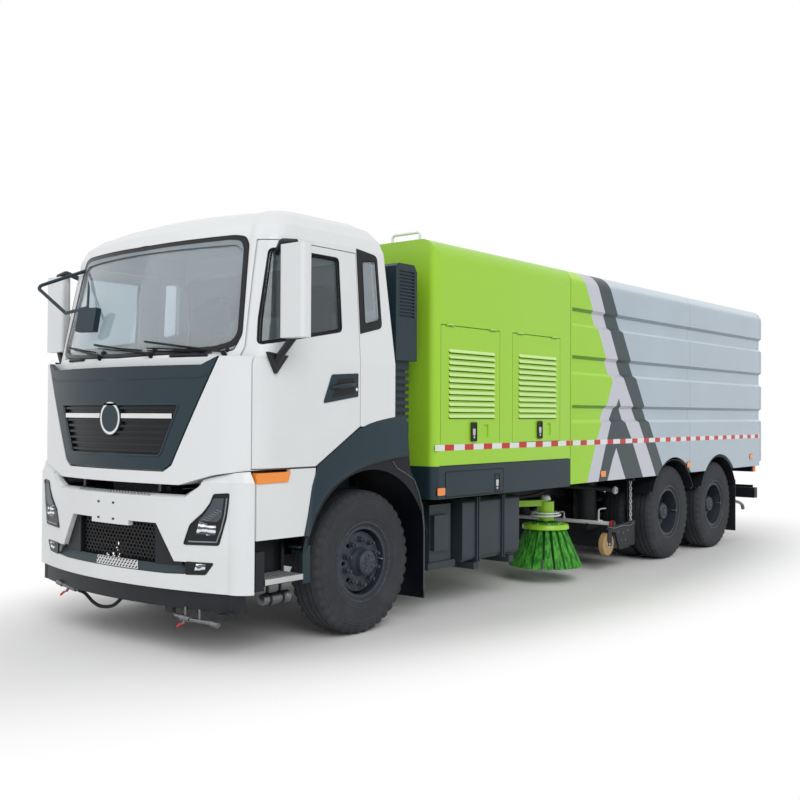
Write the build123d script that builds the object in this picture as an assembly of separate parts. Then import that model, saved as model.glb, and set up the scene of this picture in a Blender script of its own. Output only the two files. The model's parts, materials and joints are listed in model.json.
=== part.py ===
from build123d import *
from math import asin, atan2, cos, degrees, hypot, pi, sin, sqrt
import os

# A three-axle wash-and-sweep truck. X points to the truck's left, Y to its rear and Z up; the ground is Z 0.
# Sizes are in millimetres. A pair such as (low, high) gives both limits of a piece along one axis.

# Driving dimensions
overall_length = 9600
body_width = 2550
cab_width = 2500
body_roof_z = 3100
front_overhang = 1440
wheelbase = 5350
tandem_spacing = 1350
running_gap = 0.3       # between two pieces that are seated on each other
panel_gap = 6           # round doors, lids and other moving panels
skin = 40               # wall of the housing and of the container

front_y = -overall_length / 2
rear_y = overall_length / 2
front_axle_y = front_y + front_overhang
rear_axle_ys = (front_axle_y + wheelbase, front_axle_y + wheelbase + tandem_spacing)
body_x = body_width / 2
cab_x = cab_width / 2

# Wheels
tyre_radius = 542.5
tyre_width = 290
bead_radius = 262
flange_radius = 292
front_wheel_x = 1050
outer_wheel_x = 1070
twin_spacing = 325
hub_z = tyre_radius
spindle_radius = 45
kingpin_x = 880
kingpin_radius = 22
brake_radius = 205

# Ladder frame
rail_x = 430
rail_depth = 270
rail_flange = 85
rail_wall = 10
rail_top_z = 1040
frame_front_y = front_y + 150
tip_pivot_y = rear_y - 300
tip_pivot_z = 1000
frame_rear_y = tip_pivot_y + 50
runner_width = 80
body_floor_z = 1200

# Cab
cab_wall = 50
cab_low_z = 1170
belt_z = 2045
cab_roof_edge_z = 2900
sill_z = 1290
arch_top_z = 1568
cab_pivot_y = front_y + 110
cab_pivot_z = 1080
cab_pin_radius = 20
cab_rear_y = front_axle_y + 280
door_front_y = front_axle_y - 1160
door_rear_y = front_axle_y - 130
door_top_z = 2860
flap_top_z = 1990
flap_low_z = 1268
flap_thickness = 40
flap_recess = 55
fire_wall = 135

# Bumper
bumper_low_z = 455
bumper_top_z = 1084
bumper_wing_z = 1197
bumper_wall = 40
bumper_rear_y = front_axle_y - 1170

# Front wheel arches
arch_radius = 700
arch_sheet = 8

# Housing of the auxiliary engine, behind the cab
housing_front_y = front_axle_y + 750
housing_seam_y = front_axle_y + 2935
housing_low_z = 1237
roof_corner = 150
front_corner = 70
skirt_low_z = 967
hatch_thickness = 28
hinge_pin_radius = 4
hinge_radius = 9
hinge_x = body_x + 6
hinge_drop = 2

# Container
container_front_y = housing_seam_y + 10
container_low_z = 985
groove_depth = 35
guard_radius = 605
guard_sheet = 8
wheel_cut_radius = 636
tailgate_thickness = 65
tailgate_front_y = rear_y - tailgate_thickness
gate_hinge_y = tailgate_front_y - 3
gate_hinge_z = body_roof_z + 21
gate_hinge_radius = 16
gate_pin_radius = 8
gate_hinge_xs = (-620, 560)

# Lift cylinder
cylinder_base = (1300, 800)     # Y, Z of the barrel's pin
cylinder_eye = (2600, 1130)     # Y, Z of the rod's eye
barrel_radius = 70
cylinder_rod_radius = 32
cylinder_pin_radius = 16

# Side brushes
brush_x = 900
brush_y = front_axle_y + 3100
brush_arm_x = 600
brush_arm_y = front_axle_y + 2550
brush_disc_radius = 222
brush_disc_z = (528, 560)
bristle_radius = 368
bristle_low_z = 150
tuft_count = 20

# Suction nozzle
nozzle_x = 1120
nozzle_y = (front_axle_y + 4140, front_axle_y + 4640)
nozzle_z = (225, 460)
castor_radius = 120
castor_x = 1105
castor_y = front_axle_y + 4000
castor_z = 290
duct_radius = 130
hanger_y = front_axle_y + 4580


# Helpers

def block(x, y, z):
    middle = [(low + high) / 2 for low, high in (x, y, z)]
    size = [high - low for low, high in (x, y, z)]
    return Pos(*middle) * Box(*size)


def side_prism(points, x, rounding=0):
    """A Y-Z outline carried along X."""
    face = Polygon(*points, align=None)
    if rounding:
        face = fillet(face.vertices(), rounding)
    return extrude(Plane.YZ.offset(x[0]) * face, x[1] - x[0], dir=(1, 0, 0))


def front_prism(points, y, rounding=0):
    """An X-Z outline carried along Y."""
    face = Polygon(*points, align=None)
    if rounding:
        face = fillet(face.vertices(), rounding)
    return extrude(Plane.XZ.offset(-y[1]) * face, y[1] - y[0], dir=(0, -1, 0))


def top_prism(points, z, rounding=0):
    """An X-Y outline carried along Z."""
    face = Polygon(*points, align=None)
    if rounding:
        face = fillet(face.vertices(), rounding)
    return extrude(Plane.XY.offset(z[0]) * face, z[1] - z[0], dir=(0, 0, 1))


def rod_x(radius, x, y, z):
    return Pos((x[0] + x[1]) / 2, y, z) * Rot(0, 90, 0) * Cylinder(radius, x[1] - x[0])


def rod_y(radius, x, y, z):
    return Pos(x, (y[0] + y[1]) / 2, z) * Rot(90, 0, 0) * Cylinder(radius, y[1] - y[0])


def rod_z(radius, x, y, z):
    return Pos(x, y, (z[0] + z[1]) / 2) * Cylinder(radius, z[1] - z[0])


def rod(radius, start, end):
    """A round bar between two points."""
    path = Vector(*end) - Vector(*start)
    plane = Plane(origin=start, z_dir=path)
    return extrude(plane * Circle(radius), path.length)


def bent_bar(radius, points, bend):
    path = FilletPolyline(*points, radius=bend)
    return sweep(Plane(origin=path @ 0, z_dir=path % 0) * Circle(radius), path)


def other_side(shape):
    return mirror(shape, Plane.YZ)


def with_other_side(shape):
    return Part() + [shape, other_side(shape)]


def both_ways(points):
    """An X-Z or X-Y half outline, from the top or front down the left side, closed by its mirror image."""
    return list(points) + [(-x, z) for x, z in reversed(points) if x]


# Cab body: each section is an arc across the front, two corner arcs, two sides and a straight back.

def cab_section(z, centre_y, flank_x, flank_y, side_x, side_y, back_y, inset=0):
    """One closed section at height z. The inset moves every edge inwards by the same distance."""
    across, along = side_x - flank_x, side_y - flank_y
    corner_radius = (across ** 2 + along ** 2) / (2 * across)
    front_radius = (flank_x ** 2 + (flank_y - centre_y) ** 2) / (2 * (flank_y - centre_y))
    corner_turn = atan2(along, corner_radius - across)
    front_turn = pi / 2 - asin(flank_x / front_radius)
    turn = (corner_turn + front_turn) / 2
    flank = (flank_x - inset * cos(turn), flank_y + inset * sin(turn))
    radius = corner_radius - inset
    middle = (side_x - corner_radius + radius * cos(corner_turn / 2), side_y - radius * sin(corner_turn / 2))
    side, back = side_x - inset, back_y - inset
    edges = [
        ThreePointArc((-flank[0], flank[1]), (0, centre_y + inset), flank),
        ThreePointArc(flank, middle, (side, side_y)),
        Line((side, side_y), (side, back)),
        Line((side, back), (-side, back)),
        Line((-side, back), (-side, side_y)),
        ThreePointArc((-side, side_y), (-middle[0], middle[1]), (-flank[0], flank[1])),
    ]
    return Plane.XY.offset(z) * make_face(edges)


def cab_plan(inset=0):
    """The plan of the bumper and of the cab below its belt line, at Z 0."""
    return cab_section(0, front_y, 1020, front_axle_y - 1298, cab_x, front_axle_y - 994, cab_rear_y, inset)


def cab_plan_prism(z, inset=0):
    plan = cab_plan(inset)
    return extrude(Pos(0, 0, z[0]) * plan, z[1] - z[0], dir=(0, 0, 1))


def plan_band(z, outer, inner):
    return cab_plan_prism(z, outer) - cab_plan_prism((z[0] - 1, z[1] + 1), inner)


def bumper_plan_prism(z, inset=0):
    """The bumper's plan has the cab's front arc and tighter corners."""
    plan = cab_section(0, front_y, 1100, front_axle_y - 1274, cab_x, front_axle_y - 1130, cab_rear_y, inset)
    return extrude(Pos(0, 0, z[0]) * plan, z[1] - z[0], dir=(0, 0, 1))


def bumper_band(z, outer, inner):
    return bumper_plan_prism(z, outer) - bumper_plan_prism((z[0] - 1, z[1] + 1), inner)


def cab_upper(inset, top_inset):
    """The windscreen part of the cab, from the belt line to the roof's edge, and the roof."""
    levels = [
        # z, centre y, flank x, flank y, side x, side y, rear y, as offsets from the front axle in Y
        (belt_z - 1, -1380, 1070, -1150, cab_x, -930, 280),
        (cab_roof_edge_z, -1150, 980, -990, cab_x - 60, -800, 200),
    ]
    roof = [
        # z, front inset, side inset, rear inset
        (cab_roof_edge_z + 90, 50, 30, 25),
        (cab_roof_edge_z + 175, 170, 105, 75),
        (cab_roof_edge_z + 235, 340, 230, 170),
        (cab_roof_edge_z + 270, 580, 450, 330),
    ]
    y = front_axle_y
    faces = [cab_section(z, y + centre_y, flank_x, y + flank_y, side_x, y + side_y, y + back, inset)
             for z, centre_y, flank_x, flank_y, side_x, side_y, back in levels]
    z, centre_y, flank_x, flank_y, side_x, side_y, back = levels[-1]
    for roof_z, front_in, side_in, rear_in in roof:
        faces.append(cab_section(roof_z - top_inset, y + centre_y + front_in, flank_x - side_in,
                                 y + flank_y + front_in * 0.9, side_x - side_in, y + side_y + front_in * 0.75,
                                 y + back - rear_in, inset))
    return Part() + [loft([low, high], ruled=True) for low, high in zip(faces, faces[1:])]


def below_cab(rise):
    """What lies below the cab's lower edge, raised by the floor's thickness for the inside."""
    far = cab_x + 100
    edge = [(far, sill_z + 10 + rise), (970, cab_low_z + 74 + rise), (700, cab_low_z + rise)]
    low = [(far, 0), *edge, *[(-x, z) for x, z in reversed(edge)], (-far, 0)]
    front = front_prism(low, (front_y - 100, cab_rear_y + 100))
    y = front_axle_y
    arch = [(y - 600, 0), (y - 600, sill_z + rise), (y - 131, arch_top_z + rise), (y + 500, arch_top_z + rise),
            (y + 500, 0)]
    return front + side_prism(arch, (-far, far))


flap_outline = [(0, flap_top_z), (880, flap_top_z), (1010, flap_top_z + 56), (629, flap_low_z + 42),
                (560, flap_low_z)]
screen_outline = [(0, 2905), (900, 2845), (975, 2790), (1040, 2150), (1015, 2085), (0, 2062)]
door_outline = [(door_front_y, sill_z), (front_axle_y - 600, sill_z), (door_rear_y, arch_top_z),
                (door_rear_y, door_top_z), (front_axle_y - 985, door_top_z), (front_axle_y - 1125, 2110),
                (door_front_y, 2000)]
door_window = [(front_axle_y - 1085, 2130), (front_axle_y - 320, 2265), (front_axle_y - 320, 2800),
               (front_axle_y - 955, 2800), (front_axle_y - 1060, 2300)]
quarter_window = [(front_axle_y - 60, 2335), (front_axle_y + 110, 2375), (front_axle_y + 95, 2830),
                  (front_axle_y - 60, 2815)]


def grown(points, by):
    return offset(Polygon(*points, align=None), by, kind=Kind.INTERSECTION)


def grown_side_prism(points, x, by):
    return extrude(Plane.YZ.offset(x[0]) * grown(points, by), x[1] - x[0], dir=(1, 0, 0))


def grown_front_prism(points, y, by):
    return extrude(Plane.XZ.offset(-y[1]) * grown(points, by), y[1] - y[0], dir=(0, -1, 0))


def cab_outside(inset=0):
    return cab_plan_prism((cab_low_z - 100, belt_z - inset), inset) + cab_upper(inset, inset)


def cab_inside():
    inside = cab_plan_prism((cab_low_z, belt_z), cab_wall) + cab_upper(cab_wall, cab_wall)
    firewall = plan_band((cab_low_z - 1, belt_z), cab_wall, fire_wall)
    firewall &= block((-cab_x, cab_x), (front_y, door_front_y - 40), (0, belt_z))
    return inside - firewall - below_cab(cab_wall)


def cab_wall_solid():
    return cab_outside() - cab_inside() - below_cab(0)


wall_of_cab = cab_wall_solid()
round_cab = cab_outside(-running_gap)


def behind_door(gap):
    """The edges of floor and wheel arch that stay with the cab inside the door's lower wall."""
    height = (0, 1700)
    rear = door_rear_y + 60
    edge = block((0, cab_x - 110 - gap), (door_front_y - 50, rear), height)
    return edge + block((0, cab_x - cab_wall - 12 - gap), (door_front_y + 150 + 5 * gap, rear), height)


def cab_shell():
    shell = wall_of_cab
    deep = plan_band((0, 2200), -1, flap_recess)
    front_half = (front_y - 50, front_axle_y - 1200)
    shell -= grown_front_prism(both_ways(flap_outline), front_half, panel_gap * 2) & deep
    shell -= block((-985, 985), front_half, (flap_top_z, belt_z + 1)) & deep
    shell -= front_prism(both_ways(screen_outline), (front_y, front_axle_y - 700), 30)
    for x in ((cab_x - 250, cab_x + 20), (-cab_x - 20, -cab_x + 250)):
        shell -= grown_side_prism(door_outline, x, panel_gap) - with_other_side(behind_door(panel_gap))
        shell -= side_prism(quarter_window, x, 25)
    lug = block((440, 470), (cab_pivot_y - 10, cab_pivot_y + 35), (cab_pivot_z, cab_low_z + 20))
    lug += rod_x(35, (440, 470), cab_pivot_y, cab_pivot_z)
    lug -= rod_x(cab_pin_radius + running_gap, (430, 480), cab_pivot_y, cab_pivot_z)
    seal = block((cab_x - 80, cab_x - cab_wall - running_gap), (door_rear_y - 25, door_rear_y + 30), (1700, belt_z - 50))
    seal += block((cab_x - 80, cab_x - cab_wall + 10), (door_rear_y + panel_gap + 1, door_rear_y + 30), (1700, belt_z - 50))
    buffer = rod_y(15, 450, (front_y, front_y + 120), flap_low_z + 60) & cab_plan_prism((flap_low_z, 2000), flap_thickness + running_gap)
    return shell + with_other_side(lug + seal + buffer)


def cab_door(glass=False):
    """The left door, cut from the cab's own wall, or its window glass."""
    region = (cab_x - 250, cab_x + 20)
    window = side_prism(door_window, region, 25)
    if glass:
        pane = cab_upper(18, 0) - cab_upper(24, 0)
        return pane & side_prism(door_window, region, 25)
    return (wall_of_cab & side_prism(door_outline, region)) - window - behind_door(0)


def cab_glass():
    pane = cab_upper(12, 0) - cab_upper(18, 0)
    screen = pane & front_prism(both_ways(screen_outline), (front_y, front_axle_y - 700), 30)
    for x in ((cab_x - 250, cab_x + 20), (-cab_x - 20, -cab_x + 250)):
        screen += pane & side_prism(quarter_window, x, 25)
    return screen


def front_flap():
    flap = plan_band((flap_low_z - 10, 2100), 0, flap_thickness)
    flap &= front_prism(both_ways(flap_outline), (front_y - 50, front_axle_y - 1200))
    grille = both_ways([(700, 1722), (530, 1364)])
    flap -= front_prism(grille, (front_y - 50, front_axle_y - 1200)) & plan_band((1300, 1800), -1, 30)
    slot = grown_front_prism(grille, (front_y - 50, front_axle_y - 1200), 4)
    for z in range(1385, 1700, 43):
        flap += plan_band((z, z + 18), 8, 34) & slot
    badge = rod_y(125, 0, (front_y, front_y + 32), 1622)
    return flap + badge


def bumper():
    shell = bumper_band((bumper_low_z, bumper_wing_z), 0, bumper_wall)
    shell &= block((-cab_x - 10, cab_x + 10), (front_y - 10, bumper_rear_y), (0, 1300))
    gap_above = both_ways([(890, bumper_wing_z + 10), (890, bumper_wing_z - 20), (750, bumper_top_z)])
    shell -= front_prism(gap_above, (front_y - 10, bumper_rear_y))
    opening = both_ways([(500, 900), (667, 650), *fog_outline[3:], *fog_outline[2:0:-1], (600, 560)])
    tab = block((-220, 220), (front_y - 20, front_y + 200), (865, 950))
    shell -= front_prism(opening, (front_y - 10, bumper_rear_y)) - tab
    for lamp in (headlamp_outline, [(-x, z) for x, z in headlamp_outline]):
        shell -= grown_front_prism(lamp, (front_y - 10, bumper_rear_y), running_gap)
    return shell


headlamp_outline = [(991, 1116), (1107, 1125), (1084, 965), (1029, 782), (752, 773), (804, 904), (909, 989),
                    (965, 1055)]
fog_outline = [(770, 569), (930, 578), (990, 655), (770, 652)]


def front_lamps():
    head = bumper_band((700, 1200), 4, 70) & front_prism(headlamp_outline, (front_y - 10, bumper_rear_y))
    fog = bumper_band((560, 700), 12, 60) & grown_front_prism(fog_outline, (front_y - 10, bumper_rear_y), -running_gap)
    y = front_axle_y
    side = side_prism([(y - 1158, 1190.5), (y - 874, 1193.5), (y - 852, 1262), (y - 1158, 1262)], (cab_x - 45, cab_x + 8))
    return with_other_side(head + fog + side)


def bumper_grille():
    """The mesh behind the bumper's opening, its frame and the two steps."""
    back = (front_y + 110, front_y + 125)
    mesh = block((-450, 450), back, (540, 905))
    mesh -= [Pos(-420 + column * 70 + (row % 2) * 35, front_y + 117, 578 + row * 43) * Box(56, 40, 30)
             for row in range(8) for column in range(12 + (row + 1) % 2)]
    throat = with_other_side(block((450, 462), (front_y + 70, front_y + 125), (540, 905)))
    plate = bumper_band((545, 915), bumper_wall + running_gap, bumper_wall + 12)
    plate &= with_other_side(block((455, 700), (front_y, front_y + 200), (545, 915)))
    step = bumper_plan_prism((530, 556), bumper_wall + running_gap)
    step &= block((-300, 300), (front_y, front_y + 125), (0, 600))
    return mesh + throat + plate + step


def front_fairings():
    y = front_axle_y
    outline = [(y - 1160, 812), (y - 700, 808), (y - 606, 1200), (y - 598, 1278), (y - 845, 1278), (y - 872, 1193),
               (y - 1160, 1190)]
    return with_other_side(side_prism(outline, (cab_x - 40, cab_x)))


def cab_steps():
    y = front_axle_y
    front = block((960, cab_x - 12), (y - 1155, y - 1075), (470, 735))
    tread = block((1000, cab_x - 8), (y - 1075, y - 710), (500, 540))
    tread -= [Pos(1040 + row * 55, y - 1035 + column * 57, 520) * Box(34, 34, 60)
              for column in range(6) for row in range(4)]
    hanger = block((1000, 1040), (y - 725, y - 700), (500, 828))
    upper = block((1000, cab_x - 40 - running_gap), (y - 1075, y - 725), (808, 828))
    wall = block((960, 1000), (y - 1155, y - 700), (500, 1100))
    carrier = block((rail_x + running_gap, 960), (y - 1000, y - 940), (860, 930))
    return with_other_side(front + tread + hanger + upper + wall + carrier)


def front_mudguards():
    y, z = front_axle_y, hub_z
    outline = [(y - 725, 700), (y - 690, 830), (y - 612, 1100), (y - 588, 1282), (y - 566, 1300), (y - 135, 1558),
               (y + 300, 1558), (y + 440, 1530), (y + 470, 1230), (y + 640, 930), (y + 655, 800), (y + 655, 700)]
    band = side_prism(outline, (cab_x - 30, cab_x))
    hole = rod_x(arch_radius, (0, cab_x + 50), y, z) + block((0, cab_x + 50), (y - 640, y + 640), (0, z))
    sheet = rod_x(arch_radius + arch_sheet, (760, cab_x), y, z) - hole
    sheet &= block((0, cab_x + 50), (y - 800, y + 800), (700, 1400))
    band -= hole
    flap = block((900, cab_x), (y + 644, y + 655), (190, 840))
    stay = block((rail_x + running_gap, 800), (y + 600, y + 640), (880, 920))
    stay += block((rail_x + running_gap, 800), (y - 640, y - 600), (880, 920))
    return with_other_side(band + sheet + flap + (stay - hole))


# Ladder frame and running gear

def chassis_frame():
    z = (rail_top_z - rail_depth, rail_top_z)
    length = (frame_front_y, frame_rear_y)
    rail = block((rail_x - rail_flange, rail_x), length, z)
    rail -= block((rail_x - rail_flange - 1, rail_x - rail_wall), (length[0] - 1, length[1] + 1),
                  (z[0] + rail_wall, z[1] - rail_wall))
    frame = with_other_side(rail)
    for y in (frame_front_y + 60, front_axle_y + 1600, front_axle_y + 2300, 500, cylinder_base[0] - 75,
              rear_axle_ys[1] + 420, tip_pivot_y - 140):
        frame += block((-rail_x + rail_wall / 2, rail_x - rail_wall / 2), (y - 40, y + 40), (z[1] - 130, z[1] - 10))
    housing_post = block((rail_x - runner_width, rail_x), (housing_front_y, housing_seam_y),
                         (rail_top_z, housing_low_z - running_gap))
    post = block((360, 430), (front_axle_y + 120, front_axle_y + 190), (rail_top_z, arch_top_z - 60))
    beam = block((-rail_x, rail_x), (front_axle_y + 115, front_axle_y + 195), (arch_top_z - 60, arch_top_z - 1))
    lug = block((375, 430), (cab_pivot_y - 30, frame_front_y + 60), (rail_top_z - 60, cab_pivot_z + 25))
    pin = rod_x(cab_pin_radius, (400, 480), cab_pivot_y, cab_pivot_z)
    tip_pin = rod_x(28, (rail_x - 20, rail_x + 80), tip_pivot_y, tip_pivot_z)
    under_beam = bumper_band((330, bumper_low_z - running_gap), 25, 110)
    under_beam &= block((-cab_x + 80, cab_x - 80), (front_y, front_axle_y - 1180), (0, 600))
    arm = block((370, 430), (front_y + 125 + running_gap, frame_front_y + 60), (400, z[0] + 60))
    base_y, base_z = cylinder_base
    clevis = block((40, 54), (base_y - 80, base_y + 35), (base_z - 35, z[1] - 10))
    hanger = block((rail_x, nozzle_x + 20), (hanger_y - 20, hanger_y + 20), (935, 965))
    parts = housing_post + post + lug + pin + tip_pin + arm + clevis + hanger
    return frame + with_other_side(parts) + beam + under_beam + rod_x(cylinder_pin_radius, (-54, 54), base_y, base_z)


def leaf_spring(y, span, eye_z, seat_z, thickness):
    """A bow of leaves along Y with its ends at eye_z and its middle on seat_z."""
    outer = ThreePointArc((y - span, eye_z), (y, seat_z), (y + span, eye_z))
    inner = ThreePointArc((y - span, eye_z + 18), (y, seat_z + thickness), (y + span, eye_z + 18))
    ends = [Line((y - span, eye_z), (y - span, eye_z + 18)), Line((y + span, eye_z), (y + span, eye_z + 18))]
    face = make_face([outer, inner, *ends])
    return extrude(Plane.YZ.offset(365) * face, 90)


def front_axle():
    y = front_axle_y
    outline = both_ways([(820, 600), (845, 590), (845, 500), (640, 500), (560, 440)])
    beam = front_prism([(0, 540)] + outline[:5] + [(0, 440)], (y - 45, y + 45))
    beam += other_side(beam)
    boss = rod_z(48, kingpin_x, y, (490, 600)) + block((800, kingpin_x), (y - 40, y + 40), (500, 590))
    pin = rod_z(kingpin_radius, kingpin_x, y, (440, 650))
    spring = leaf_spring(y, 780, rail_top_z - rail_depth - 60, 540, 60)
    hanger = block((370, 430), (y - 800, y - 740), (rail_top_z - rail_depth - 70, rail_top_z - rail_depth))
    hanger += block((370, 430), (y + 740, y + 800), (rail_top_z - rail_depth - 70, rail_top_z - rail_depth))
    return beam + with_other_side(boss + pin + spring + hanger)


def knuckle():
    """The left steering knuckle: a fork on the kingpin, a spindle and a steering arm."""
    y = front_axle_y
    lower = block((kingpin_x - 45, kingpin_x + 95), (y - 45, y + 45), (440, 484))
    upper = block((kingpin_x - 45, kingpin_x + 95), (y - 45, y + 45), (606, 650))
    back = block((kingpin_x + 58, kingpin_x + 95), (y - 60, y + 60), (440, 650))
    spindle = rod_x(spindle_radius, (kingpin_x + 90, 1200), y, hub_z)
    arm = block((kingpin_x - 25, kingpin_x + 25), (y + 30, y + 190), (452, 478))
    body = lower + upper + back + spindle + arm
    body -= rod_z(kingpin_radius + running_gap, kingpin_x, y, (400, 700))
    return body - rod_z(12 + running_gap, kingpin_x, y + 160, (400, 700))


def tie_rod():
    y = front_axle_y + 160
    bar = rod_x(18, (-kingpin_x - 15, kingpin_x + 15), y, 425)
    return bar + with_other_side(rod_z(12, kingpin_x, y, (415, 476)))


def tyre(x):
    half, bead = tyre_width / 2, tyre_width / 2 - 40
    edges = [
        Line((x - bead, bead_radius), (x + bead, bead_radius)),
        Line((x + bead, bead_radius), (x + bead, flange_radius + 6)),
        ThreePointArc((x + bead, flange_radius + 6), (x + half, 410), (x + half - 22, 515)),
        Line((x + half - 22, 515), (x + half - 50, tyre_radius)),
        Line((x + half - 50, tyre_radius), (x - half + 50, tyre_radius)),
        Line((x - half + 50, tyre_radius), (x - half + 22, 515)),
        ThreePointArc((x - half + 22, 515), (x - half, 410), (x - bead, flange_radius + 6)),
        Line((x - bead, flange_radius + 6), (x - bead, bead_radius)),
    ]
    profile = Plane((0, 0, 0), x_dir=(1, 0, 0), z_dir=(0, -1, 0)) * make_face(edges)
    return revolve(profile, Axis.X)


def turned(points):
    """A solid turned about the X axis from its X-radius outline."""
    return revolve(Plane((0, 0, 0), x_dir=(1, 0, 0), z_dir=(0, -1, 0)) * Polygon(*points, align=None), Axis.X)


def rim_barrel(x):
    """A rim's barrel with a flange at each side of the tyre, centred on x."""
    half = tyre_width / 2 - 40 + running_gap
    seat = bead_radius - running_gap
    return turned([(x - half - 10, flange_radius), (x - half, flange_radius), (x - half, seat),
                   (x + half, seat), (x + half, flange_radius), (x + half + 10, flange_radius),
                   (x + half + 10, seat - 14), (x - half - 10, seat - 14)])


def hand_holes(x, count, pitch_radius, radius):
    turns = [2 * pi * index / count for index in range(count)]
    return [rod_x(radius, x, pitch_radius * sin(turn), pitch_radius * cos(turn)) for turn in turns]


def front_rim():
    x = front_wheel_x
    disc = turned([(x + 20, 250), (x + 34, 250), (x + 75, 215), (x + 92, 150), (x + 92, 60), (x + 78, 60),
                   (x + 78, 145), (x + 62, 205)])
    hub = turned([(x + 20, 0.1), (x + 20, 110), (x + 100, 110), (x + 130, 95), (x + 170, 90), (x + 185, 70),
                  (x + 185, 0.1)])
    drum = turned([(985, 60), (985, brake_radius), (x + 20, brake_radius), (x + 35, 150), (x + 35, 60)])
    wheel = rim_barrel(x) + disc + hub + drum
    wheel -= rod_x(spindle_radius + running_gap, (900, 1205), 0, 0)
    wheel -= hand_holes((x + 30, x + 110), 8, 178, 17)
    return Pos(0, front_axle_y, hub_z) * wheel


def rear_rims():
    outer, inner = outer_wheel_x, outer_wheel_x - twin_spacing
    face = (outer + inner) / 2
    outer_disc = turned([(outer - 70, 251), (outer - 40, 251), (face + 60, 215), (face + 14, 190), (face + 14, 60),
                         (face, 60), (face, 195), (face + 45, 222)])
    inner_disc = turned([(inner + 70, 251), (inner + 40, 251), (face - 60, 215), (face - 14, 190), (face - 14, 60),
                         (face, 60), (face, 195), (face - 45, 222)])
    hub = turned([(face - 120, 60), (face - 120, 120), (face + 40, 120), (face + 60, 100), (outer + 60, 95),
                  (outer + 75, 80), (outer + 75, 0.1), (face + 100, 0.1), (face + 100, 60)])
    drum = turned([(inner - 90, 100), (inner - 90, brake_radius), (inner + 60, brake_radius), (face - 14, 160),
                   (face - 14, 100)])
    wheel = rim_barrel(outer) + rim_barrel(inner) + outer_disc + inner_disc + hub + drum
    wheel -= rod_x(60 + running_gap, (600, face + 100), 0, 0)
    wheel -= hand_holes((face - 30, face + 30), 8, 165, 17)
    return wheel


def rear_tyres():
    return tyre(outer_wheel_x) + tyre(outer_wheel_x - twin_spacing)


def rear_axles():
    face = outer_wheel_x - twin_spacing / 2
    gear = Part()
    for y in rear_axle_ys:
        gear += rod_x(72, (-620, 620), y, hub_z) + rod_x(60, (-face - 90, face + 90), y, hub_z)
        gear += Pos(0, y, hub_z) * Sphere(205)
    middle = (rear_axle_ys[0] + rear_axle_ys[1]) / 2
    spring = side_prism([(rear_axle_ys[0] - 60, 615), (middle, 700), (rear_axle_ys[1] + 60, 615),
                         (rear_axle_ys[1] + 60, 640), (middle, 769), (rear_axle_ys[0] - 60, 640)], (370, 460))
    seat = Part()
    for y in rear_axle_ys:
        seat += block((375, 455), (y - 50, y + 50), (540, 625))
    gear += with_other_side(spring + seat)
    gear += rod_y(55, 0, (rear_axle_ys[0], rear_axle_ys[1]), hub_z + 40)
    gear += rod(50, (0, front_axle_y + 1504, 820), (0, rear_axle_ys[0] - 120, hub_z + 60))
    return gear


def engine_block():
    y = front_axle_y
    x = rail_x - rail_flange - running_gap
    block_solid = block((-x, x), (y - 380, y + 730), (640, 1290))
    gearbox = side_prism([(y + 730, 700), (y + 730, 1080), (y + 1100, 980), (y + 1500, 900), (y + 1500, 740)],
                         (-190, 190))
    radiator = block((-x, x), (y - 1160, y - 1050), (700, 1130))
    return block_solid + gearbox + radiator


def air_intake():
    y = front_axle_y
    tower = side_prism([(y + 345, 2085), (y + 345, 2830), (y + 380, 2855), (y + 570, 2855), (y + 610, 2800),
                        (y + 610, 2085)], (820, 1200))
    for z in range(2430, 2800, 27):
        tower -= [block((1188, 1210), (y + 385, y + 575), (z, z + 14)),
                  block((860, 1160), (y + 600, y + 620), (z, z + 14))]
    bellows = block((940, 1150), (y + 390, y + 570), (1560, 2085))
    for index in range(8):
        z = 1600 + index * 56
        bellows -= block((900, 1200), (y + 300, y + 700), (z, z + 24)) - block((960, 1130), (y + 410, y + 550), (z, z + 24))
    duct = block((rail_x + 10, 1150), (y + 390, y + 570), (1400, 1560))
    foot = block((rail_x - 10, rail_x + 90), (y + 400, y + 560), (rail_top_z + running_gap, 1420))
    return tower + bellows + duct + foot


def housing_profile(inset, low):
    """The X-Z outline of the housing and the container, round at the roof's corners."""
    x, top = body_x - inset, body_roof_z - inset
    face = Polygon((x, low), (x, top), (-x, top), (-x, low), align=None)
    corners = face.vertices().group_by(Axis.Y)[-1]
    return fillet(corners, roof_corner - inset)


def housing_body(inset, y, low):
    profile = extrude(Plane.XZ.offset(-y[1]) * housing_profile(inset, low), y[1] - y[0])
    x = body_x - inset
    plan = Polygon((x, y[0]), (x, y[1]), (-x, y[1]), (-x, y[0]), align=None)
    plan = fillet(plan.vertices().group_by(Axis.Y)[0], front_corner - inset / 2)
    return profile & extrude(Plane.XY * plan, body_roof_z + 100)


hatches = [
    # front y, rear y, low z, top z, louvre front y, louvre rear y, louvre low z, louvre top z, number of louvres
    (front_axle_y + 830, front_axle_y + 1700, 1405, 2400, front_axle_y + 944, front_axle_y + 1612, 1625, 2215, 12),
    (front_axle_y + 1900, front_axle_y + 2740, 1410, 2400, front_axle_y + 2004, front_axle_y + 2659, 1625, 2225, 12),
]


def hinge_places(front, back):
    """The front ends, along Y, of the hatch's two hinge leaves."""
    return front + 90, back - 150


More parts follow.
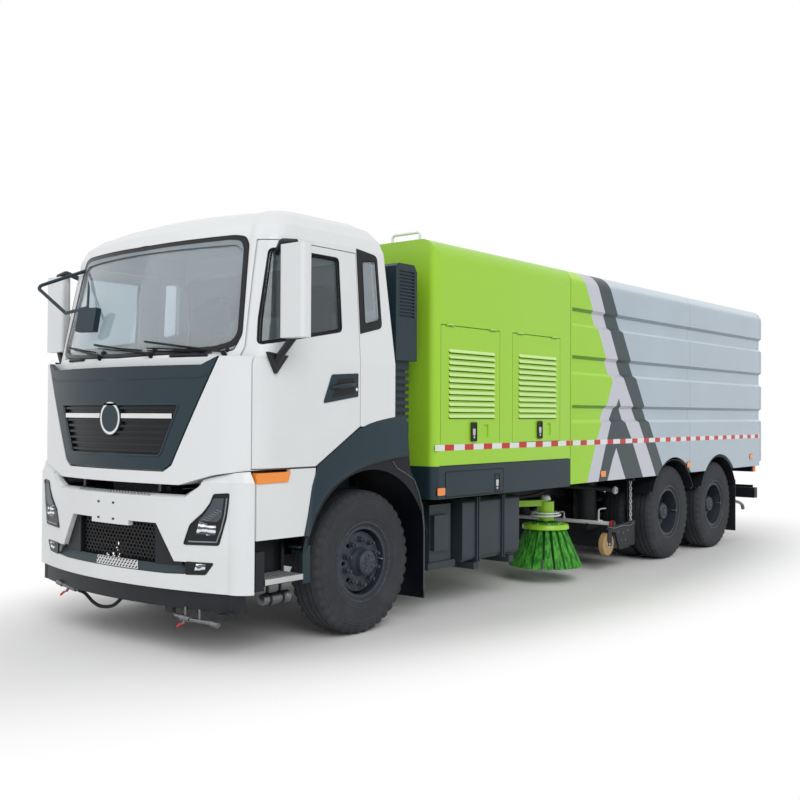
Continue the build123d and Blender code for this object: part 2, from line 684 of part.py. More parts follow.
def power_housing():
    y = (housing_front_y, housing_seam_y)
    shell = housing_body(0, y, housing_low_z)
    shell -= housing_body(skin, (y[0] + skin, y[1] - skin), housing_low_z + skin)
    pins = []
    for front, back, low, top, *louvres in hatches:
        shell -= block((-body_x - 5, body_x + 5), (front, back), (low, top))
        for y0 in hinge_places(front, back):
            z0 = top - hinge_drop
            room = rod_y(hinge_radius + 1, hinge_x, (y0 - 1, y0 + 61), z0)
            shell -= [room, other_side(room)]
            pin = rod_y(hinge_pin_radius, hinge_x, (y0 - 20, y0 + 80), z0)
            pin += [rod_y(hinge_radius, hinge_x, (y0 - 20, y0 - 1), z0), rod_y(hinge_radius, hinge_x, (y0 + 61, y0 + 80), z0)]
            pins += [pin, other_side(pin)]
    rail = bent_bar(11, [(700, y[0] + 150, body_roof_z - 5), (700, y[0] + 150, body_roof_z + 90),
                         (1000, y[0] + 150, body_roof_z + 90), (1000, y[0] + 150, body_roof_z - 5)], 30)
    return shell + pins + rail


def hatch(index):
    front, back, low, top, louvre_front, louvre_back, louvre_low, louvre_top, count = hatches[index]
    gap = panel_gap
    panel = block((body_x - hatch_thickness, body_x), (front + gap, back - gap), (low + gap, top - gap))
    pitch = (louvre_top - louvre_low) / count
    for row in range(count):
        z = louvre_low + row * pitch
        panel -= block((body_x - hatch_thickness - 1, body_x + 1), (louvre_front, louvre_back), (z, z + pitch * 0.35))
        hood = front_prism([(body_x - 2, z + pitch * 0.32), (body_x + 12, z + pitch * 0.12),
                            (body_x + 12, z + pitch * 0.22), (body_x - 2, z + pitch * 0.8)],
                           (louvre_front, louvre_back))
        panel += hood
    latch_y = louvre_back - 130
    panel -= block((body_x - 12, body_x + 1), (latch_y - 40, latch_y + 40), (low + 60, low + 170))
    for y0 in hinge_places(front, back):
        z0 = top - hinge_drop
        panel -= [rod_y(hinge_radius + 5, hinge_x, (y0 - 25, y0 - 0.5), z0), rod_y(hinge_radius + 5, hinge_x, (y0 + 60.5, y0 + 85), z0)]
        panel += rod_y(hinge_radius, hinge_x, (y0 - 0.5, y0 + 60.5), z0)
        panel -= rod_y(hinge_pin_radius + running_gap, hinge_x, (y0 - 2, y0 + 62), z0)
    return panel


def skirt_panels():
    y = (housing_front_y, housing_seam_y)
    z = (skirt_low_z, housing_low_z - running_gap)
    apron = housing_body(0, y, 0) - housing_body(30, (y[0] + 30, y[1] + 10), 0)
    apron &= block((-body_x, body_x), y, z)
    middle = block((-rail_x - 20, rail_x + 20), (y[0] - 10, y[1] + 10), (0, housing_low_z))
    stays = [block((rail_x + running_gap, body_x - 20), (stay_y, stay_y + 40), (rail_top_z + 40, z[1]))
             for stay_y in (y[0] + 500, y[1] - 540)]
    return apron - middle + stays + [other_side(stay) for stay in stays]


def auxiliary_engine():
    y = housing_front_y
    return block((-420, 420), (y + 300, y + 1500), (housing_low_z + skin + running_gap, 2150))


def side_tanks():
    """The ribbed tank, the switch box and their bracket beams, on each side below the housing."""
    y = front_axle_y
    tank = block((620, 1140), (y + 1330, y + 2230), (385, 925))
    tank = fillet(tank.edges().filter_by(Axis.Y), 45)
    for offset_y in (200, 230, 600, 630):
        tank += block((600, 1155), (y + 1330 + offset_y, y + 1342 + offset_y), (372, 938))
    beams = Part()
    x = rail_x + running_gap
    for beam_y in (y + 1500, y + 2060):
        beams += block((x, 1140), (beam_y, beam_y + 70), (310, 371.7)) + block((x, x + 60), (beam_y, beam_y + 70), (310, 800))
    rack = block((x, 1100), (y + 900, y + 1280), (360, 420)) + block((x, x + 60), (y + 900, y + 960), (360, 800))
    box = block((620, 1080), (y + 940, y + 1240), (420.3, 900))
    switch = block((1080, 1120), (y + 960, y + 1160), (520, 815))
    return with_other_side(tank + beams + rack + box + switch)


# Container, tailgate and lift

grooves = [(2540, 2720), (2060, 2250), (1585, 1760)]


def container_shell():
    y = (container_front_y, tailgate_front_y - panel_gap)
    low = container_low_z
    outer = extrude(Plane.XZ.offset(-y[1]) * housing_profile(0, low), y[1] - y[0])
    inner = extrude(Plane.XZ.offset(-y[1] - 10) * housing_profile(skin + groove_depth, body_floor_z + skin),
                    y[1] + 10 - y[0] - skin)
    under = block((-body_x + skin, body_x - skin), (y[0] - 10, y[1] + 10), (0, body_floor_z))
    shell = outer - inner - under
    for side in (1, -1):
        x0, x1 = side * (body_x + 1), side * (body_x - groove_depth)
        for z0, z1 in grooves:
            shell -= front_prism([(x0, z0 - 1), (x1, z0 + 30), (x1, z1 - 30), (x0, z1 + 1)], (y[0] + 25, y[1] + 1))
    for axle_y in rear_axle_ys:
        shell -= rod_x(wheel_cut_radius, (-body_x - 1, body_x + 1), axle_y, hub_z)
    runner = block((rail_x - runner_width, rail_x), (y[0] + 30, tip_pivot_y - 60),
                   (rail_top_z + running_gap, body_floor_z + 1))
    ear = block((rail_x + 8, rail_x + 60), (tip_pivot_y - 70, tip_pivot_y + 45), (tip_pivot_z, body_floor_z + 1))
    ear += rod_x(58, (rail_x + 8, rail_x + 60), tip_pivot_y, tip_pivot_z)
    ear -= rod_x(28 + running_gap, (rail_x, rail_x + 70), tip_pivot_y, tip_pivot_z)
    lug = block((46, 66), (cylinder_eye[0] - 60, cylinder_eye[0] + 60), (cylinder_eye[1] - 50, body_floor_z + 1))
    for x in gate_hinge_xs:
        for x0 in (x - 32, x + 61):
            shell += rod_x(gate_hinge_radius, (x0, x0 + 31), gate_hinge_y, gate_hinge_z)
            shell += block((x0, x0 + 31), (gate_hinge_y - 50, gate_hinge_y - 6), (body_roof_z - 5, gate_hinge_z + 10))
        shell += rod_x(gate_pin_radius, (x - 32, x + 92), gate_hinge_y, gate_hinge_z)
    return shell + with_other_side(runner + ear + lug)


def tailgate():
    gate = extrude(Plane.XZ.offset(-rear_y) * housing_profile(0, container_low_z + 60), tailgate_thickness)
    gate = fillet(gate.edges().filter_by(Axis.X).sort_by(Axis.Z)[:2].sort_by(Axis.Y)[-1:], 40)
    for z0, z1 in grooves:
        for side in (1, -1):
            x0, x1 = side * (body_x + 1), side * (body_x - groove_depth)
            gate -= front_prism([(x0, z0 - 1), (x1, z0 + 30), (x1, z1 - 30), (x0, z1 + 1)], (rear_y - 100, rear_y + 1))
    for x in gate_hinge_xs:
        gate += rod_x(gate_hinge_radius, (x, x + 60), gate_hinge_y, gate_hinge_z)
        gate += block((x, x + 60), (tailgate_front_y + 2, tailgate_front_y + 30), (body_roof_z - 5, gate_hinge_z + 8))
        gate -= rod_x(gate_pin_radius + running_gap, (x - 1, x + 61), gate_hinge_y, gate_hinge_z)
    return gate


def tail_lamps():
    beam = block((rail_x + 80, body_x - 25), (tip_pivot_y + 70, tip_pivot_y + 150), (905, container_low_z - running_gap))
    return with_other_side(beam)


def lift_cylinder():
    """The barrel and the rod, in line from the barrel's pin to the rod's eye."""
    (y0, z0), (y1, z1) = cylinder_base, cylinder_eye
    length = hypot(y1 - y0, z1 - z0)
    toward = ((y1 - y0) / length, (z1 - z0) / length)

    def at(distance):
        return (0, y0 + toward[0] * distance, z0 + toward[1] * distance)

    barrel = rod(barrel_radius, at(110), at(length - 90)) + rod_x(36, (-38, 38), y0, z0)
    barrel += rod(32, at(0), at(130))
    barrel -= rod(cylinder_rod_radius + 0.5, at(130), at(length))
    barrel -= rod_x(cylinder_pin_radius + running_gap, (-40, 40), y0, z0)
    rod_part = rod(cylinder_rod_radius, at(135), at(length - 20)) + rod_x(38, (-38, 38), y1, z1)
    return barrel, rod_part


# Sweeping gear

def brush_arm():
    x, y = brush_arm_x, brush_arm_y
    pivot = rod_z(45, x, y, (735, 815)) - rod_z(22 + running_gap, x, y, (700, 850))
    reach = Vector(brush_x - x, brush_y - y)
    turn = degrees(atan2(reach.Y, reach.X))
    length = reach.length
    beam = Pos(x, y, 775) * Rot(0, 0, turn) * (Pos((40 + length) / 2, 0, 0) * Box(length - 40, 90, 60))
    motor = rod_z(85, brush_x, brush_y, (600, 790)) + rod_z(30, brush_x, brush_y, (540, 600))
    return (pivot + beam + motor) - rod_z(22 + running_gap, x, y, (700, 850))


def brush_post():
    x, y = brush_arm_x, brush_arm_y
    pin = rod_z(22, x, y, (700, 850))
    plate = block((rail_x, x + 50), (y - 60, y + 60), (820, 850)) + block((rail_x, x + 50), (y - 60, y + 60), (700, 730))
    return plate + pin + block((rail_x, rail_x + 30), (y - 60, y + 60), (700, 850))


def brush():
    x, y = brush_x, brush_y
    low, high = brush_disc_z
    disc = rod_z(brush_disc_radius, x, y, (low, high)) + rod_z(150, x, y, (high, high + 22))
    disc -= rod_z(30 + running_gap, x, y, (high - 30, high + 40))
    top = Plane.XY.offset(low + 2) * Pos(brush_disc_radius - 40, 0) * Rectangle(30, 34)
    foot = Plane.XY.offset(bristle_low_z) * Pos(bristle_radius - 30, 0) * Rectangle(58, 92)
    tuft = loft([top, foot], ruled=True)
    return disc + [Pos(x, y, 0) * Rot(0, 0, 360 * index / tuft_count) * tuft for index in range(tuft_count)]


def suction_nozzle():
    """The nozzle box, its spray bar, its side plates, the castor forks and the suction duct."""
    box = block((-nozzle_x, nozzle_x), nozzle_y, nozzle_z)
    box -= block((-nozzle_x + 15, nozzle_x - 15), (nozzle_y[0] + 15, nozzle_y[1] - 15), (nozzle_z[0] - 1, nozzle_z[1] - 15))
    y0, bar_y = nozzle_y[0], castor_y - 45
    duct = rod_z(duct_radius, 640, y0 + 240, (nozzle_z[1] - 10, body_floor_z - panel_gap))
    bar = rod_x(20, (-1180, 1180), bar_y, 515)
    cap = rod_x(32, (1180, 1225), bar_y, 515)
    lift = block((900, 925), (bar_y - 20, y0 + 60), (430, 500))
    plate = side_prism([(y0 - 180, 425), (y0 - 180, 465), (y0 + 490, 500), (y0 + 500, 470), (y0 + 330, 215),
                        (y0 + 120, 205), (y0 + 20, 400)], (nozzle_x, nozzle_x + 12))
    fork = block((castor_x + 31, castor_x + 39), (castor_y - 25, castor_y + 60), (castor_z - 20, 445))
    fork += block((castor_x - 10, castor_x + 39), (castor_y - 25, castor_y + 60), (425, 445))
    axle = rod_x(14, (castor_x - 30, castor_x + 35), castor_y, castor_z)
    return box + with_other_side(duct + lift + plate + fork + axle + cap) + bar


def castor():
    wheel = rod_x(castor_radius, (castor_x - 26, castor_x + 26), castor_y, castor_z)
    return wheel - rod_x(14 + running_gap, (castor_x - 40, castor_x + 40), castor_y, castor_z)


def rear_mudguards():
    guards = Part()
    reach = sqrt((guard_radius + guard_sheet) ** 2 - (800 - hub_z) ** 2)
    for axle_y in rear_axle_ys:
        ring = rod_x(guard_radius + guard_sheet, (620, body_x - 15), axle_y, hub_z)
        ring -= rod_x(guard_radius, (600, body_x), axle_y, hub_z)
        guards += ring & block((0, body_x), (axle_y - 700, axle_y + 700), (800, 1400))
        for side in (-1, 1):
            guards += rod_x(22, (rail_x + running_gap, body_x - 40), axle_y + side * reach, 805)
    y = rear_axle_ys[1] + reach
    guards += block((650, body_x - 20), (y + 10, y + 20), (165, 830)) + block((650, 700), (y - 15, y + 15), (790, 820))
    return with_other_side(guards)


def rear_underrun():
    y = rear_y - 110
    bar = block((-body_x + 30, body_x - 30), (y - 60, y + 40), (546, 685))
    bracket = block((rail_x - 80, rail_x), (frame_rear_y - 130, y - 60), (600, 680))
    bracket += block((rail_x - 80, rail_x), (frame_rear_y - 130, frame_rear_y - 30),
                     (600, rail_top_z - rail_depth - running_gap))
    return bar + with_other_side(bracket)


# Cab fittings

def cab_interior():
    y = front_axle_y
    room = cab_plan_prism((cab_low_z, belt_z), fire_wall + running_gap)
    dash = side_prism([(y - 1400, 1760), (y - 1400, 2030), (y - 1130, 2040), (y - 930, 1960), (y - 900, 1800),
                       (y - 1000, 1700)], (-1060, 1060)) & room
    column = rod(28, (560, y - 980, 1850), (560, y - 760, 2060))
    wheel = Plane(origin=(560, y - 760, 2060), z_dir=(0, 0.72, 0.69)) * (Pos(0, 0, 0) * Torus(215, 16))
    spokes = Plane(origin=(560, y - 760, 2060), z_dir=(0, 0.72, 0.69)) * (Box(430, 40, 14) + Box(40, 430, 14))
    seats = Part()
    for x in (-600, 600):
        base = side_prism([(y - 520, 1300), (y - 500, 1850), (y - 20, 1850), (y - 20, 1300)], (x - 210, x + 210))
        base -= below_cab(cab_wall + running_gap)
        cushion = block((x - 250, x + 250), (y - 560, y - 40), (1850, 1980))
        back = side_prism([(y - 120, 1960), (y - 20, 1960), (y + 60, 2640), (y - 20, 2640)], (x - 240, x + 240), 20)
        seats += base + cushion + back
    return dash + column + wheel + spokes + seats


def wipers():
    y = front_axle_y
    arms = Part()
    for x, reach in ((960, -640), (360, -640), (-230, -520)):
        screen_y = y - 1380 + 230 * (x / 1070) ** 2
        end_y = y - 1412 + 230 * ((x + reach) / 1070) ** 2
        arms += rod(16, (x, screen_y + 10, 2052), (x, screen_y - 22, 2080))
        arms += rod(8, (x, screen_y - 20, 2080), (x + reach, end_y + 12, 2165))
    return arms - round_cab


def look_down_mirror():
    y = front_axle_y
    a, b, c = (-950, y - 985, 2830), (-1240, y - 1285, 2680), (-900, y - 1235, 2450)
    d, e = (-560, y - 1260, 2470), (-445, y - 1330, 2362)
    frame = bent_bar(14, [a, b, c, d], 30) + rod(10, a, d)
    head = Pos(*e) * Rot(-10, 0, 6) * Box(200, 50, 180)
    return (frame - round_cab) + [rod(10, d, e), head]


def door_mirror():
    """The left main mirror: housing, top arm and the lower bracket on the door."""
    y = front_axle_y
    housing = block((1300, 1530), (y - 1020, y - 925), (2170, 2800))
    housing = fillet(housing.edges().filter_by(Axis.Z), 30)
    top = bent_bar(20, [(1150, y - 900, 2760), (1290, y - 985, 2830), (1420, y - 975, 2812)], 50)
    low = rod(26, (1262, y - 1010, 2010), (1400, y - 970, 2180))
    pad = side_prism([(y - 1090, 2075), (y - 900, 2055), (y - 1010, 1930)], (cab_x + running_gap, cab_x + 30))
    return housing + pad + ((low + top) - round_cab)


# Assembly

barrel_piece, rod_piece = lift_cylinder()
left_knuckle, left_rim = knuckle(), front_rim()
left_tyre = Pos(0, front_axle_y, hub_z) * tyre(front_wheel_x)
left_door, left_glass, left_mirror = cab_door(), cab_door(glass=True), door_mirror()
left_hatches = [hatch(0), hatch(1)]
left_arm, left_brush, left_castor = brush_arm(), brush(), castor()

pieces = {
    "chassis_frame": chassis_frame() + with_other_side(brush_post()),
    "front_axle": front_axle(),
    "tie_rod": tie_rod(),
    "rear_axles": rear_axles(),
    "engine_block": engine_block(),
    "bumper": bumper(),
    "front_lamps": front_lamps(),
    "front_fairings": front_fairings(),
    "cab_steps": bumper_grille() + cab_steps(),
    "front_mudguards": front_mudguards(),
    "air_intake": air_intake(),
    "side_tanks": side_tanks(),
    "power_housing": power_housing(),
    "skirt_panels": skirt_panels(),
    "auxiliary_engine": auxiliary_engine(),
    "rear_mudguards": rear_mudguards(),
    "suction_nozzle": suction_nozzle(),
    "rear_underrun": rear_underrun(),
    "cab_shell": cab_shell(),
    "cab_glass": cab_glass(),
    "cab_interior": cab_interior(),
    "wipers": wipers(),
    "look_down_mirror": look_down_mirror(),
    "front_flap": front_flap(),
    "container_shell": container_shell(),
    "tail_lamps": tail_lamps(),
    "tailgate": tailgate(),
    "lift_barrel": barrel_piece,
    "lift_rod": rod_piece,
}
for side, turn in (("left", lambda shape: shape), ("right", other_side)):
    pieces[f"knuckle_{side}"] = turn(left_knuckle)
    pieces[f"front_tyre_{side}"] = turn(left_tyre)
    pieces[f"front_rim_{side}"] = turn(left_rim)
    for number, axle_y in enumerate(rear_axle_ys, 1):
        place = Pos(0, axle_y, hub_z)
        pieces[f"rear_tyres_{number}_{side}"] = turn(place * rear_tyres())
        pieces[f"rear_rims_{number}_{side}"] = turn(place * rear_rims())
    pieces[f"door_{side}"] = turn(left_door)
    pieces[f"door_glass_{side}"] = turn(left_glass)
    pieces[f"mirror_{side}"] = turn(left_mirror)
    for number, lid in enumerate(left_hatches, 1):
        pieces[f"hatch_{number}_{side}"] = turn(lid)
    pieces[f"brush_arm_{side}"] = turn(left_arm)
    pieces[f"brush_{side}"] = turn(left_brush)
    pieces[f"castor_{side}"] = turn(left_castor)

os.makedirs("parts", exist_ok=True)
for node, piece in pieces.items():
    export_step(piece, f"parts/{node}.step")
print(len(pieces), "nodes")
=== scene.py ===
import json
from math import cos, pi, radians, sin, sqrt

import bmesh
import bpy
from mathutils import Matrix, Vector


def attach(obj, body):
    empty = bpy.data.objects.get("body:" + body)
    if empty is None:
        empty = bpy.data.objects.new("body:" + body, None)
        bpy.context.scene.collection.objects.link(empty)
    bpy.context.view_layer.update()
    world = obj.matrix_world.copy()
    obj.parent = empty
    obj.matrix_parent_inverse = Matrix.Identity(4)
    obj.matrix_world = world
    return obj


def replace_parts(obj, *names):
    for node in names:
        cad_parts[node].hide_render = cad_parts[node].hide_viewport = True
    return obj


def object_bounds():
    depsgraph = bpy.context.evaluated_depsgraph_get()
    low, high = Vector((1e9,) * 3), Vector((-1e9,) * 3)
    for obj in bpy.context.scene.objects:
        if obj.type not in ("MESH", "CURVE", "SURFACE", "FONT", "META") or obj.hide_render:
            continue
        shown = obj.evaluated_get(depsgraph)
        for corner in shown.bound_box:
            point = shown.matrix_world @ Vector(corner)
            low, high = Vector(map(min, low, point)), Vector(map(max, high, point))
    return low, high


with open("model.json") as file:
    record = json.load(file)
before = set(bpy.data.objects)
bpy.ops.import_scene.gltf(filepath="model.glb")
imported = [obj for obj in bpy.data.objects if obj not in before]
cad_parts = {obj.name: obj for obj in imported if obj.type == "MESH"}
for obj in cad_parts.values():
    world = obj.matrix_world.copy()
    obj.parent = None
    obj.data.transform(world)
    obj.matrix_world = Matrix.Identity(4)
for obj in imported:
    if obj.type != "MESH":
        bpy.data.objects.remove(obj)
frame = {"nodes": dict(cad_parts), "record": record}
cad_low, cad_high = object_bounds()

# A three-axle wash-and-sweep truck, in metres: X to its left, Y to its rear, Z up.

FRONT_AXLE = -3.36
REAR_AXLES = (1.99, 3.34)
HUB_Z = 0.5425
SIDE = 1.275      # half the body's width
BRUSH = (0.9, -0.26)      # a brush's spindle, on the left
SIDES = (("left", 1), ("right", -1))

CAMERA_PLACE = (6.2438, -9.1293, 1.6588)
CAMERA_TURN, CAMERA_PITCH, CAMERA_ROLL = radians(129.27), 0.0143, 0.005
CAMERA_LENS = 45.55


# Camera

def aim_camera():
    data = bpy.data.cameras.new("view")
    data.sensor_width, data.lens = 36, CAMERA_LENS
    data.clip_end = 200
    camera = bpy.data.objects.new("view", data)
    bpy.context.scene.collection.objects.link(camera)
    level = cos(CAMERA_PITCH)
    ahead = Vector((cos(CAMERA_TURN) * level, sin(CAMERA_TURN) * level, sin(CAMERA_PITCH)))
    roll = Matrix.Rotation(CAMERA_ROLL, 3, "Z").to_quaternion()
    camera.rotation_mode = "QUATERNION"
    camera.rotation_quaternion = ahead.to_track_quat("-Z", "Y") @ roll
    camera.location = CAMERA_PLACE
    bpy.context.scene.camera = camera


aim_camera()


# Material helpers

class Nodes:
    """Short calls for adding and joining the nodes of one tree."""

    def __init__(self, tree):
        self.tree = tree

    def add(self, kind, **values):
        node = self.tree.nodes.new(kind)
        for name, value in values.items():
            setattr(node, name, value)
        return node

    def join(self, out, socket):
        self.tree.links.new(out, socket)

    def math(self, operation, a, b=None, clamp=False):
        node = self.add("ShaderNodeMath", operation=operation, use_clamp=clamp)
        for index, value in enumerate((a, b)):
            self.put(value, node.inputs[index])
        return node.outputs[0]

    def both(self, a, b):
        """Where two masks overlap."""
        return self.math("MULTIPLY", a, b)

    def either(self, a, b):
        """Where one mask or the other is."""
        return self.math("MAXIMUM", a, b)

    def outside(self, mask):
        """Where a mask is not."""
        return self.math("SUBTRACT", 1.0, mask)

    def put(self, value, socket):
        if value is None:
            return
        if isinstance(value, bpy.types.NodeSocket):
            self.join(value, socket)
        else:
            socket.default_value = value

    def put_colour(self, value, socket):
        self.put((*value, 1) if isinstance(value, tuple) and len(value) == 3 else value, socket)

    def mix(self, factor, a, b):
        node = self.add("ShaderNodeMix", data_type="RGBA")
        self.put(factor, node.inputs[0])
        self.put_colour(a, node.inputs[6])
        self.put_colour(b, node.inputs[7])
        return node.outputs[2]

    def noise(self, scale, detail=4, rough=0.55, vector=None):
        node = self.add("ShaderNodeTexNoise")
        node.inputs["Scale"].default_value = scale
        node.inputs["Detail"].default_value = detail
        node.inputs["Roughness"].default_value = rough
        self.join(vector or self.place(), node.inputs["Vector"])
        return node.outputs["Fac"]

    def place(self):
        return self.add("ShaderNodeTexCoord").outputs["Object"]

    def stretched(self, scale):
        """Positions scaled along each axis, for streaks and runs."""
        node = self.add("ShaderNodeMapping")
        node.inputs["Scale"].default_value = scale
        self.join(self.place(), node.inputs["Vector"])
        return node.outputs[0]

    def axes(self):
        node = self.add("ShaderNodeSeparateXYZ")
        self.join(self.place(), node.inputs[0])
        return node.outputs

    def ramp(self, value, low, high, to_low=0.0, to_high=1.0):
        node = self.add("ShaderNodeMapRange", interpolation_type="SMOOTHSTEP")
        self.put(value, node.inputs[0])
        for index, number in enumerate((low, high, to_low, to_high), 1):
            self.put(number, node.inputs[index])
        return node.outputs[0]

    def group(self, tree, **values):
        node = self.add("ShaderNodeGroup")
        node.node_tree = tree
        for name, value in values.items():
            self.put_colour(value, node.inputs[name])
        return node.outputs


def new_group(name, inputs, outputs):
    """A node group with (name, kind, default) for each input and (name, kind) for each output."""
    tree = bpy.data.node_groups.new(name, "ShaderNodeTree")
    for label, kind, default in inputs:
        socket = tree.interface.new_socket(label, in_out="INPUT", socket_type="NodeSocket" + kind)
        socket.default_value = default
    for label, kind in outputs:
        tree.interface.new_socket(label, in_out="OUTPUT", socket_type="NodeSocket" + kind)
    nodes = Nodes(tree)
    return tree, nodes, nodes.add("NodeGroupInput").outputs, nodes.add("NodeGroupOutput").inputs


def road_dust_group():
    """Dust and dried spray that thins out upwards from the ground, in blotches and runs."""
    tree, n, given, out = new_group(
        "Road dust",
        [("Clean", "Color", (1, 1, 1, 1)), ("Dust", "Color", (0.3, 0.27, 0.22, 1)),
         ("Amount", "Float", 0.5), ("Top", "Float", 1.6), ("Roughness", "Float", 0.3)],
        [("Color", "Color"), ("Roughness", "Float"), ("Mask", "Float")])
    height = n.ramp(n.axes()[2], 0.15, given["Top"], 1.0, 0.0)
    blotch = n.ramp(n.noise(3.5, 7, 0.62), 0.35, 0.72)
    specks = n.ramp(n.noise(60, 3, 0.6), 0.5, 0.75)
    runs = n.ramp(n.noise(1.6, 4, 0.6, n.stretched((14, 14, 1.2))), 0.42, 0.7)
    mask = n.math("ADD", n.math("MULTIPLY", blotch, 0.55), n.math("MULTIPLY", runs, 0.15))
    mask = n.math("ADD", mask, n.math("MULTIPLY", specks, 0.05))
    mask = n.math("MULTIPLY", n.math("MULTIPLY", mask, height), given["Amount"], clamp=True)
    n.join(n.mix(mask, given["Clean"], given["Dust"]), out["Color"])
    rougher = n.math("MULTIPLY", mask, 0.5)
    n.join(n.math("ADD", given["Roughness"], rougher, clamp=True), out["Roughness"])
    n.join(mask, out["Mask"])
    return tree


def edge_wear_group():
    """A mask on worn convex edges, broken up by noise."""
    tree, n, given, out = new_group(
        "Edge wear", [("Amount", "Float", 0.5), ("Scale", "Float", 40.0)], [("Mask", "Float")])
    edge = n.ramp(n.add("ShaderNodeNewGeometry").outputs["Pointiness"], 0.52, 0.60)
    chips = n.add("ShaderNodeTexNoise")
    n.join(n.place(), chips.inputs["Vector"])
    n.join(given["Scale"], chips.inputs["Scale"])
    worn = n.both(edge, n.ramp(chips.outputs["Fac"], 0.45, 0.6))
    n.join(n.both(worn, given["Amount"]), out["Mask"])
    return tree


def grain_group():
    """Fine surface height: orange peel, moulded plastic or cast skin by its scale."""
    tree, n, given, out = new_group(
        "Surface grain", [("Scale", "Float", 200.0), ("Waves", "Float", 8.0)], [("Height", "Float")])
    fine = n.add("ShaderNodeTexNoise")
    fine.inputs["Detail"].default_value = 3
    n.join(n.place(), fine.inputs["Vector"])
    n.join(given["Scale"], fine.inputs["Scale"])
    broad = n.add("ShaderNodeTexNoise")
    broad.inputs["Detail"].default_value = 1
    n.join(n.place(), broad.inputs["Vector"])
    n.join(given["Waves"], broad.inputs["Scale"])
    waves = n.math("MULTIPLY", broad.outputs["Fac"], 2.0)
    n.join(n.math("ADD", fine.outputs["Fac"], waves), out["Height"])
    return tree


road_dust, edge_wear, grain = road_dust_group(), edge_wear_group(), grain_group()


def scaled(colour, share):
    return tuple(part * share for part in colour)


def finish(name, colour, roughness=0.4, metallic=0.0, coat=0.0, specular=0.35, bright=None,
           dust=0.3, dust_top=1.6, dust_colour=(0.27, 0.24, 0.20), wear=0.0,
           wear_colour=(0.25, 0.25, 0.25), vary=0.06, bump=0.03, grain_scale=220.0, waves=8.0,
           round_edge=0.0):
    """A surface finish: a colour, or colours from a function, with dust, wear, grain and soft edges.

    bright, when given, is a function for the mask of the places that are metal.
    """
    material = bpy.data.materials.new(name)
    material.use_nodes = True
    n = Nodes(material.node_tree)
    shader = material.node_tree.nodes["Principled BSDF"]
    if isinstance(colour, tuple):
        colour = n.mix(n.ramp(n.noise(2.2, 5), 0.3, 0.75), scaled(colour, 1 - vary * 2), colour)
    else:
        colour = colour(n)
    if wear:
        colour = n.mix(n.group(edge_wear, Amount=wear)["Mask"], colour, wear_colour)
    soiled = n.group(road_dust, Clean=colour, Dust=dust_colour, Amount=dust, Top=dust_top,
                     Roughness=roughness)
    n.join(soiled["Color"], shader.inputs["Base Color"])
    n.join(soiled["Roughness"], shader.inputs["Roughness"])
    shader.inputs["Metallic"].default_value = metallic
    shader.inputs["Specular IOR Level"].default_value = specular
    if bright:
        n.join(bright(n), shader.inputs["Metallic"])
    if coat:
        shader.inputs["Coat Weight"].default_value = coat
        shader.inputs["Coat Roughness"].default_value = 0.06
    lift = n.add("ShaderNodeBump")
    lift.inputs["Strength"].default_value = bump
    lift.inputs["Distance"].default_value = 0.004
    n.join(n.group(grain, Scale=grain_scale, Waves=waves)["Height"], lift.inputs["Height"])
    if round_edge:
        soft = n.add("ShaderNodeBevel", samples=4)
        soft.inputs["Radius"].default_value = round_edge
        n.join(soft.outputs[0], lift.inputs["Normal"])
    n.join(lift.outputs[0], shader.inputs["Normal"])
    return material


def glass_finish(name, tint, roughness=0.02, clear=0.9):
    """Clear glazing with a faint change of tint and polish over its surface."""
    material = bpy.data.materials.new(name)
    material.use_nodes = True
    n = Nodes(material.node_tree)
    shader = material.node_tree.nodes["Principled BSDF"]
    n.join(n.mix(n.ramp(n.noise(1.1, 3), 0.35, 0.7), scaled(tint, 0.94), tint),
           shader.inputs["Base Color"])
    n.join(n.ramp(n.noise(9, 5), 0.3, 0.8, roughness, roughness + 0.006), shader.inputs["Roughness"])
    shader.inputs["Transmission Weight"].default_value = clear
    shader.inputs["IOR"].default_value = 1.45
    return material


# Finishes of the truck

def curve(n, value, points, straight=False):
    """A smooth or straight line through points of (0 to 1, 0 to 1)."""
    node = n.add("ShaderNodeFloatCurve")
    line = node.mapping.curves[0]
    line.points[0].location, line.points[1].location = points[0], points[-1]
    for point in points[1:-1]:
        line.points.new(*point)
    if straight:
        for point in line.points:
            point.handle_type = "VECTOR"
    node.mapping.update()
    n.put(value, node.inputs["Value"])
    return node.outputs[0]


# Lime and pale paint, each with a lighter copy as painted highlight on faces turned up and a darker copy
# as painted shade on faces turned down
LIME, LIME_PAINTED_HIGHLIGHT, LIME_PAINTED_SHADE = (0.335, 0.640, 0.032), (0.46, 0.76, 0.10), (0.130, 0.300, 0.012)
PALE, PALE_PAINTED_HIGHLIGHT, PALE_PAINTED_SHADE = (0.430, 0.510, 0.580), (0.60, 0.68, 0.74), (0.24, 0.30, 0.35)
WHITE = (0.745, 0.765, 0.780)
SLATE = (0.016, 0.034, 0.046)
STRIPE = (0.022, 0.044, 0.052)
BAND = (0.56, 0.57, 0.64)
NEAR_BLACK = (0.012, 0.014, 0.017)
GREY_DUST = (0.12, 0.12, 0.12)
WHEEL_DUST = (0.14, 0.14, 0.14)
RING_HEIGHT, RING_INNER, RING_OUTER = 1.622, 0.099, 0.117      # the plain ring on the front flap

